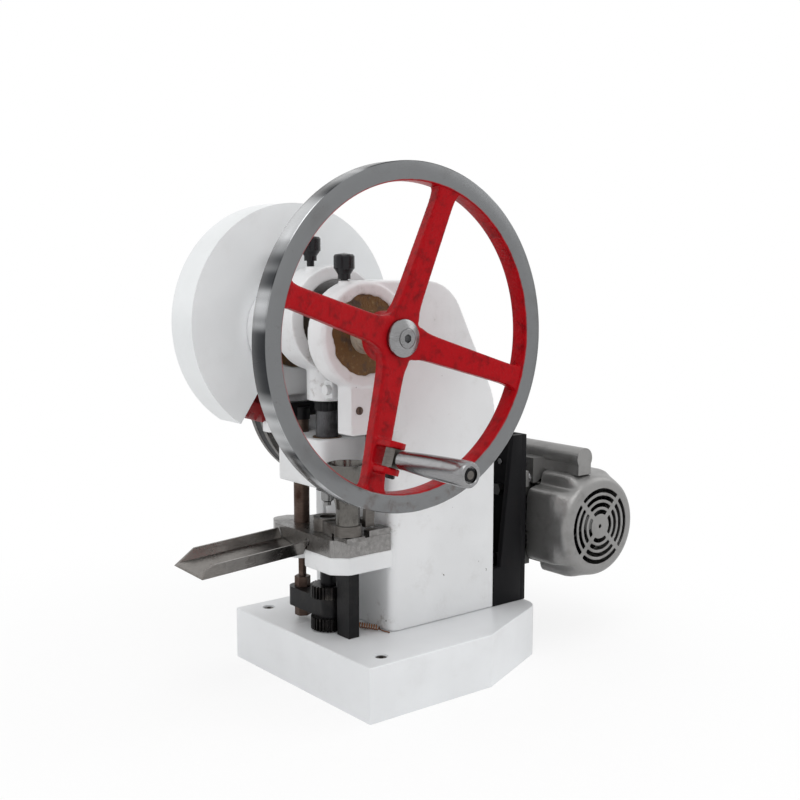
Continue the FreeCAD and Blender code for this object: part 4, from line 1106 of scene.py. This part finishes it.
@dataclass
class Casting:
    """A sand-cast copy of a CAD node: trimmed, built up and softened into one skin."""

    node: str
    body: str
    finish: Finish
    slot: str
    voxel: float
    trims: Sequence[Callable[[Forge], None]] = ()
    additions: Sequence[Callable[[Forge], None]] = ()
    easing: int = 3

    def build(self) -> bpy.types.Object:
        """Make the copy, trim it, add its bosses and round it.

        Returns:
            The piece.
        """
        item = node_copy(self.node, self.node + "_skin", self.body, self.finish)
        for trim in self.trims:
            tool = self.tool(trim)
            cutter = item.modifiers.new("trim", "BOOLEAN")
            cutter.operation = "DIFFERENCE"
            cutter.solver = "EXACT"
            cutter.object = tool
            apply_modifiers(item)
            bpy.data.objects.remove(tool)
        extra = Forge()
        for addition in self.additions:
            addition(extra)
        self.join(item, extra)
        cast_skin(item, self.voxel, self.easing)
        return item

    def tool(self, shape: Callable[[Forge], None]) -> bpy.types.Object:
        """Build one cutter that is taken away again after use.

        Args:
            shape: Adds the cutter's shape to a forge.

        Returns:
            The cutter.
        """
        forge = Forge()
        shape(forge)
        bmesh.ops.recalc_face_normals(forge.mesh, faces=forge.mesh.faces)
        data = bpy.data.meshes.new("tool")
        forge.mesh.to_mesh(data)
        forge.mesh.free()
        item = bpy.data.objects.new("tool", data)
        bpy.context.scene.collection.objects.link(item)
        return item

    def join(self, item: bpy.types.Object, extra: Forge) -> None:
        """Put the added shapes into the copy's mesh.

        Args:
            item: The copy.
            extra: The added shapes.
        """
        bmesh.ops.recalc_face_normals(extra.mesh, faces=extra.mesh.faces)
        extra.mesh.from_mesh(item.data)
        extra.mesh.to_mesh(item.data)
        extra.mesh.free()


@dataclass
class WhiteCastings:
    """The frame and the eccentric strap, softened, with the bearing ring and its puttied edge."""

    axis_z: float = 396.0
    ring_rad: float = 57.0
    ring_face: float = 54.0
    ring_bore: float = 40.6
    leg_front: float = -19.0
    leg_foot: float = 285.0
    far_front: float = -80.0
    arm_in: float = 46.0
    arm_out: float = 72.0
    boss_out: float = 75.5
    cup_sink: float = 4.6

    def leg_trim(self, forge: Forge) -> None:
        """Take away what stands in front of the right arm's leg, under its ring.

        Args:
            forge: The forge that takes the cutter.
        """
        start, rows = math.acos(-self.leg_front / self.ring_rad), 12
        turns = [start * (1 - k / rows) for k in range(rows + 1)]
        under = [(-self.ring_rad * math.cos(a), self.axis_z - self.ring_rad * math.sin(a)) for a in turns]
        outline = [(self.far_front, self.leg_foot), (self.leg_front, self.leg_foot), *under,
                   (self.far_front, self.axis_z)]
        forge.prism(outline, self.arm_in - 1.4, self.arm_out + 2.0, SIDE_ON)

    def scallop(self, angle: float) -> float:
        """How far the putty's edge swings out of the ring's bore at an angle."""
        return (2.4 * abs(math.sin(4.5 * angle + 0.4)) + 0.7 * math.sin(11 * angle)
                + 0.4 * math.sin(23 * angle))

    def ring(self, forge: Forge) -> None:
        """Raise a ring round the bearing, with a scalloped inner edge.

        Args:
            forge: The forge that takes it.
        """
        steps = 144
        rows: Rings = [[], [], [], [], []]
        for k in range(steps):
            angle = TURN * k / steps
            inner = self.ring_bore + self.scallop(angle)
            shape = ((inner + 1.0, self.arm_out - 4), (inner, self.arm_out + 0.6),
                     (inner + 1.5, self.boss_out - 1.2), (self.ring_face, self.boss_out),
                     (self.ring_rad - 0.4, self.arm_out - 4))
            for row, (radius, x) in zip(rows, shape):
                point = Vector((x, radius * math.cos(angle), self.axis_z + radius * math.sin(angle)))
                row.append(forge.mesh.verts.new(point * MM))
        forge.skin(rows, loop=True)

    def build(self) -> None:
        """Build both castings."""
        Casting("frame_casting", "root", WHITE, "white_paint", 1.7, [self.leg_trim], [self.ring]).build()
        Casting("eccentric_strap", "ram", WHITE, "white_paint", 1.4).build()
        cups = node_copy("bearing_oil_cups", "bearing_cups_seated", "root", PLASTIC)
        for vertex in cups.data.vertices:
            vertex.co.z -= self.cup_sink * MM


@dataclass
class FanCover:
    """The motor's fan cover: four broad bulges that run out into a round front with the slotted grille."""

    centre: tuple[float, float] = (331.0, 149.0)
    start: float = 42.0
    end: float = 109.0
    stations: tuple[float, ...] = (42.0, 62.0, 80.0, 88.0, 92.0, 96.0, 99.0, 102.0, 104.5, 106.5, 107.8,
                                   108.6, 108.95)
    inner_stations: int = 9
    round_rad: float = 61.5
    bulges: tuple[tuple[float, float], ...] = ((37.0, 65.0), (60.5, 47.0))
    bulge_power: float = 9.0
    fade_end: float = 3.0
    fade_length: float = 24.0
    least_inside: float = 48.0
    face_rad: float = 50.5
    face_lap: float = 3.0
    front_round: float = 9.0
    wall: float = 2.2

    def radius(self, angle: float, x: float) -> float:
        """Outer radius of the cover.

        Args:
            angle: Turn about the motor's axis.
            x: Place along it.

        Returns:
            The radius in millimetres, of two crossed boxes that fade into a circle at the front.
        """
        c, s, power = abs(math.cos(angle)), abs(math.sin(angle)), self.bulge_power
        wide = max(((c / a) ** power + (s / b) ** power) ** (-1 / power) for a, b in self.bulges)
        fade = min(1.0, max(0.0, (self.end - self.fade_end - x) / self.fade_length))
        fade = fade * fade * (3 - 2 * fade)
        full = self.round_rad + max(0.0, wide - self.round_rad) * fade
        turn_in = x - (self.end - self.front_round)
        if turn_in > 0:
            full -= self.front_round - math.sqrt(max(0.0, self.front_round ** 2 - turn_in ** 2))
        return full

    def shell(self, forge: Forge) -> None:
        """Add the wall, open towards the motor, with a lip that laps the grille's disc at the front.

        Args:
            forge: The forge that takes it.
        """
        steps = 144
        outside = [(x, 0.0) for x in self.stations] + [(self.end, None)]
        inside = [(x - 0.3, self.wall) for x in reversed(self.stations[:self.inner_stations])]
        inside[-1] = (self.start, self.wall)
        rows = []
        for x, inset in outside + [(self.end - self.wall, None)] + inside:
            row = []
            for k in range(steps):
                angle = TURN * k / steps
                if inset is None:
                    size = self.face_rad - self.face_lap
                else:
                    size = max(self.radius(angle, x) - inset, self.least_inside)
                y, z = self.centre[0] + size * math.cos(angle), self.centre[1] + size * math.sin(angle)
                row.append(forge.mesh.verts.new(Vector((x, y, z)) * MM))
            rows.append(row)
        forge.skin(rows, loop=True)

    def rim_trim(self, forge: Forge) -> None:
        """Take away all of the old cover outside the grille."""
        forge.lathe([(self.face_rad, -10.0), (110.0, -10.0), (110.0, 90.0), (self.face_rad, 90.0)],
                    place_at((self.start, *self.centre), Axis.X), 96, closed=True)

    def build(self) -> None:
        """Build the cover."""
        Casting("fan_cover", "root", MOTOR, "motor_alu", 0.9, [self.rim_trim], [self.shell], 6).build()


@dataclass
class Fittings:
    """Small hardware that the castings and the motor carry."""

    base_top: float = 60.0
    foot_bolt_x: float = 110.0
    plate_top: float = 174.0
    bracket_face: float = 253.0
    studs_at: tuple[tuple[float, float], ...] = ((46.0, 208.0), (37.0, 105.0))
    ear: tuple[float, float, float] = (15.0, 7.0, 20.0)

    def screws(self) -> None:
        """Add the visible screw heads."""
        feet = [((x, -10.0, self.base_top - 6.2), Axis.Z) for x in (-self.foot_bolt_x, self.foot_bolt_x)]
        screws("foot_screws", "root", HeadKind.SOCKET, 7.0, feet, WORN, "steel")
        screws("arm_screw", "root", HeadKind.SLOTTED, 5.2, [((71.6, -9.0, 316.5), Axis.X)], RUSTED, "steel")
        screws("bracket_screw", "root", HeadKind.HEX, 4.0, [((22.0, 245.0, 227.7), Axis.MINUS_Y)], BRIGHT,
               "steel")

    def studs(self) -> None:
        """Add the motor's foot ears with their nuts."""
        left, right, tall = self.ear
        forge = Forge()
        for x, z in self.studs_at:
            low = z - tall / 2
            forge.prism([(x - left, low), (x + right, low), (x + right, low + tall), (x - left, low + tall)],
                        -self.bracket_face - 10.0, -self.bracket_face - 0.1, Axis.MINUS_Y.value)
        forge.bevel(1.2).add("motor_foot_ears", "root", MOTOR, "motor_alu")
        nuts = [((x, self.bracket_face + 9.9, z), Axis.Y) for x, z in self.studs_at]
        screws("foot_nuts", "root", HeadKind.HEX, 6.5, nuts, BRIGHT, "steel", washer=True)

    def spring(self) -> None:
        """Lay the copper spring with its straight tail on the base."""
        start, end = Vector((22.0, 27.0, 64.2)), Vector((42.0, 38.5, 63.6))
        along = end - start
        turn = along.to_track_quat("Z", "Y").to_matrix().to_4x4()
        matrix = Matrix.Translation(start * MM) @ turn
        points = coil(8.0, 2.6, along.length, matrix)
        tail = [Vector((44.5, 38.6, 62.2)), Vector((50.0, 40.5, 61.2)), Vector((57.0, 43.0, 61.0))]
        Forge().tube(points + tail, 0.75, 8).add("spare_spring", "root", COPPER, "bronze", 80.0)

    def plate_block(self) -> None:
        """Add the guide block on the die plate's rear corner."""
        outline = [(47.0, 15.0), (57.4, 15.0), (57.4, 44.0), (37.0, 44.0), (37.0, 36.0), (47.0, 36.0)]
        forge = Forge().prism(outline, self.plate_top + 0.02, self.plate_top + 7.2, Matrix.Identity(4))
        forge.bevel(0.7).add("plate_guide_block", "root", PLATE, "steel", 35.0)

    def grip(self) -> None:
        """Turn the crank's grip, which swells towards its recessed end."""
        wheel, bore = Handwheel(), 4.15
        start = Matrix.Translation(Vector((wheel.pin_x + 12.0, wheel.lug_radius, 0)) * MM)
        matrix = wheel.crank_place() @ start @ Axis.X.value
        forge = Forge().lathe([
            (bore, 0.1), (8.0, 0.1), (8.8, 0.8), (9.3, 6.0), (10.2, 20.0), (11.2, 42.0), (12.0, 68.0),
            (12.5, 88.0), (12.5, 96.2), (12.1, 97.8), (11.2, 99.2), (9.8, 99.9), (8.2, 99.9), (7.7, 99.4),
            (7.6, 96.0), (bore, 96.0)], matrix, 72, closed=True)
        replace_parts(forge.add("turned_grip", "grip", BRIGHT, "polished", 30.0), "crank_grip")

    def bracket(self) -> None:
        """Build the motor plate with its two tapered webs and the flange on the column."""
        foot, head, column, face = self.base_top + 0.1, 265.0, 200.1, self.bracket_face
        left, right, thick, step = -62.0, 58.0, 8.0, 106.0
        web = [(face - 7.0, foot), (column, foot), (column, step), (212.0, step + 1.0), (231.0, head),
               (face - 7.0, head)]
        plate = [(face - thick, foot), (face, foot), (face, head), (face - thick, head)]
        flange = [(column, foot), (208.0, foot), (208.0, step), (column, step)]
        forge = Forge()
        for outline, low, high in ((web, left, left + thick), (web, right - thick, right),
                                   (plate, left, right), (flange, left + thick - 0.2, right - thick + 0.2)):
            forge.prism(outline, low, high, SIDE_ON)
        forge.bevel(0.8)
        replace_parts(forge.add("webbed_bracket", "root", BRACKET, "black_paint", 35.0), "motor_bracket")

    def lock_nut(self) -> None:
        """Turn the fluted nut that locks the ram to its screw."""
        steps, low, high, outer, flutes = 96, 309.1, 320.8, 14.2, 12
        forge = Forge()
        rings = []
        for height, ease in ((low, 1.0), (low + 1.0, 0.0), (high - 1.0, 0.0), (high, 1.0)):
            ring = []
            for k in range(steps):
                angle = TURN * k / steps
                radius = outer - ease - 0.7 * max(0.0, math.cos(flutes * angle)) ** 3
                point = Vector((radius * math.cos(angle), radius * math.sin(angle), height))
                ring.append(forge.mesh.verts.new(point * MM))
            rings.append(ring)
        forge.skin(rings, ends=True)
        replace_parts(forge.add("ram_lock_ring", "ram", NUT_BLACK, "black_oxide", 30.0), "ram_lock_nut")

    def build(self) -> None:
        """Build all of them."""
        self.screws()
        self.studs()
        self.spring()
        self.plate_block()
        self.lock_nut()
        self.grip()
        self.bracket()


# ------------------------------------------------------------------ camera, light and floor

@dataclass(frozen=True)
class Lamp:
    """A square area lamp: its place and size in metres and its power in watts."""

    name: str
    place: Point
    size: float
    power: float


@dataclass
class Studio:
    """The pale floor, soft light, white background and the camera."""

    eye: Vector = field(default_factory=lambda: Vector((1.0410, -0.7282, 0.4789)))
    azimuth: float = 51.38
    elevation: float = 7.13
    lens: float = 52.07
    aim: Point = (0.0, 0.1, 0.25)
    lamps: tuple[Lamp, ...] = (
        Lamp("key_lamp", (1.0, -0.7, 2.3), 1.5, 15.0),
        Lamp("fill_lamp", (-1.6, -1.3, 1.2), 1.6, 3.0),
        Lamp("back_lamp", (0.6, 1.9, 1.6), 1.4, 6.0),
    )
    sky: float = 0.80
    floor_half: float = 6.0
    floor_glow: float = 0.78
    glow_ring: tuple[float, float] = (0.35, 0.75)

    def camera(self) -> None:
        """Place the camera at its own eye point, looking along its azimuth and elevation."""
        data = bpy.data.cameras.new("camera")
        data.lens = self.lens
        data.sensor_width = 36.0
        item = bpy.data.objects.new("camera", data)
        bpy.context.scene.collection.objects.link(item)
        turn, lift = math.radians(self.azimuth), math.radians(self.elevation)
        item.location = self.eye
        item.rotation_euler = (math.pi / 2 - lift, 0.0, turn)
        bpy.context.scene.camera = item

    def light(self, lamp: Lamp) -> None:
        """Add one lamp that looks at the press.

        Args:
            lamp: The lamp.
        """
        data = bpy.data.lights.new(lamp.name, "AREA")
        data.size = lamp.size
        data.energy = lamp.power
        item = bpy.data.objects.new(lamp.name, data)
        bpy.context.scene.collection.objects.link(item)
        item.location = lamp.place
        away = Vector(self.aim) - Vector(lamp.place)
        item.rotation_euler = away.to_track_quat("-Z", "Y").to_euler()

    def world(self) -> None:
        """A soft sky that the camera, mirrors and glass see as white."""
        world = bpy.data.worlds.new("white_room")
        world.use_nodes = True
        bpy.context.scene.world = world
        tree = world.node_tree
        back = tree.nodes["Background"]
        path = tree.nodes.new("ShaderNodeLightPath")
        seen = Val(tree, path.outputs["Is Camera Ray"])
        for kind in ("Is Transmission Ray", "Is Glossy Ray"):
            seen = seen + Val(tree, path.outputs[kind])
        level = tree.nodes.new("ShaderNodeMapRange")
        level.inputs["To Min"].default_value = self.sky
        level.inputs["To Max"].default_value = 1.0
        tree.links.new(seen.clamp().socket, level.inputs["Value"])
        tree.links.new(level.outputs["Result"], back.inputs["Strength"])
        back.inputs["Color"].default_value = (1.0, 1.0, 1.0, 1.0)

    def floor(self) -> None:
        """A wide pale floor that keeps a soft shadow."""
        mesh = bpy.data.meshes.new("floor")
        half = self.floor_half
        corners = [(-half, -half, 0), (half, -half, 0), (half, half, 0), (-half, half, 0)]
        mesh.from_pydata(corners, [], [(0, 1, 2, 3)])
        item = bpy.data.objects.new("floor", mesh)
        bpy.context.scene.collection.objects.link(item)
        s = Shader("pale_floor")
        speck = s.noise(3.0, 2.0)
        s.finish(s.mix((0.93, 0.93, 0.93), (0.95, 0.95, 0.95), speck), 0.7)
        glow = s.node("ShaderNodeEmission", Color=(1.0, 1.0, 1.0), Strength=1.0)
        path = s.node("ShaderNodeLightPath")
        spread = s.node("ShaderNodeVectorMath", {"operation": "LENGTH"})
        s.tree.links.new(s.place.socket, spread.inputs[0])
        far = Val(s.tree, spread.outputs["Value"]).step(*self.glow_ring)
        seen = Val(s.tree, path.outputs["Is Camera Ray"])
        share = (far * seen + (1 - far) * seen * self.floor_glow).clamp()
        blend = s.node("ShaderNodeMixShader", Fac=share)
        s.tree.links.new(s.surface.outputs[0], blend.inputs[1])
        s.tree.links.new(glow.outputs[0], blend.inputs[2])
        output = s.tree.nodes["Material Output"]
        s.tree.links.new(blend.outputs[0], output.inputs["Surface"])
        item.data.materials.append(s.material)

    def build(self) -> None:
        """Set the whole studio up."""
        self.camera()
        self.world()
        self.floor()
        for lamp in self.lamps:
            self.light(lamp)
        bpy.context.scene.view_settings.view_transform = "Standard"


def dress_nodes() -> None:
    """Give every CAD node its finish."""
    for name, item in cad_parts.items():
        finish = WHEEL_PAINT if name == "handwheel" else NODE_FINISH.get(name, SILVER)
        BOOK.dress(item, finish)
        LOG.info("node %s takes %s", name, finish.name)


def main() -> None:
    """Dress the nodes, add the pieces and set the studio."""
    logging.basicConfig(level=logging.INFO, format="%(name)s: %(message)s")
    dress_nodes()
    Handwheel().build()
    WhiteCastings().build()
    Fittings().build()
    FanCover().build()
    Studio().build()


if __name__ == "__main__":
    main()
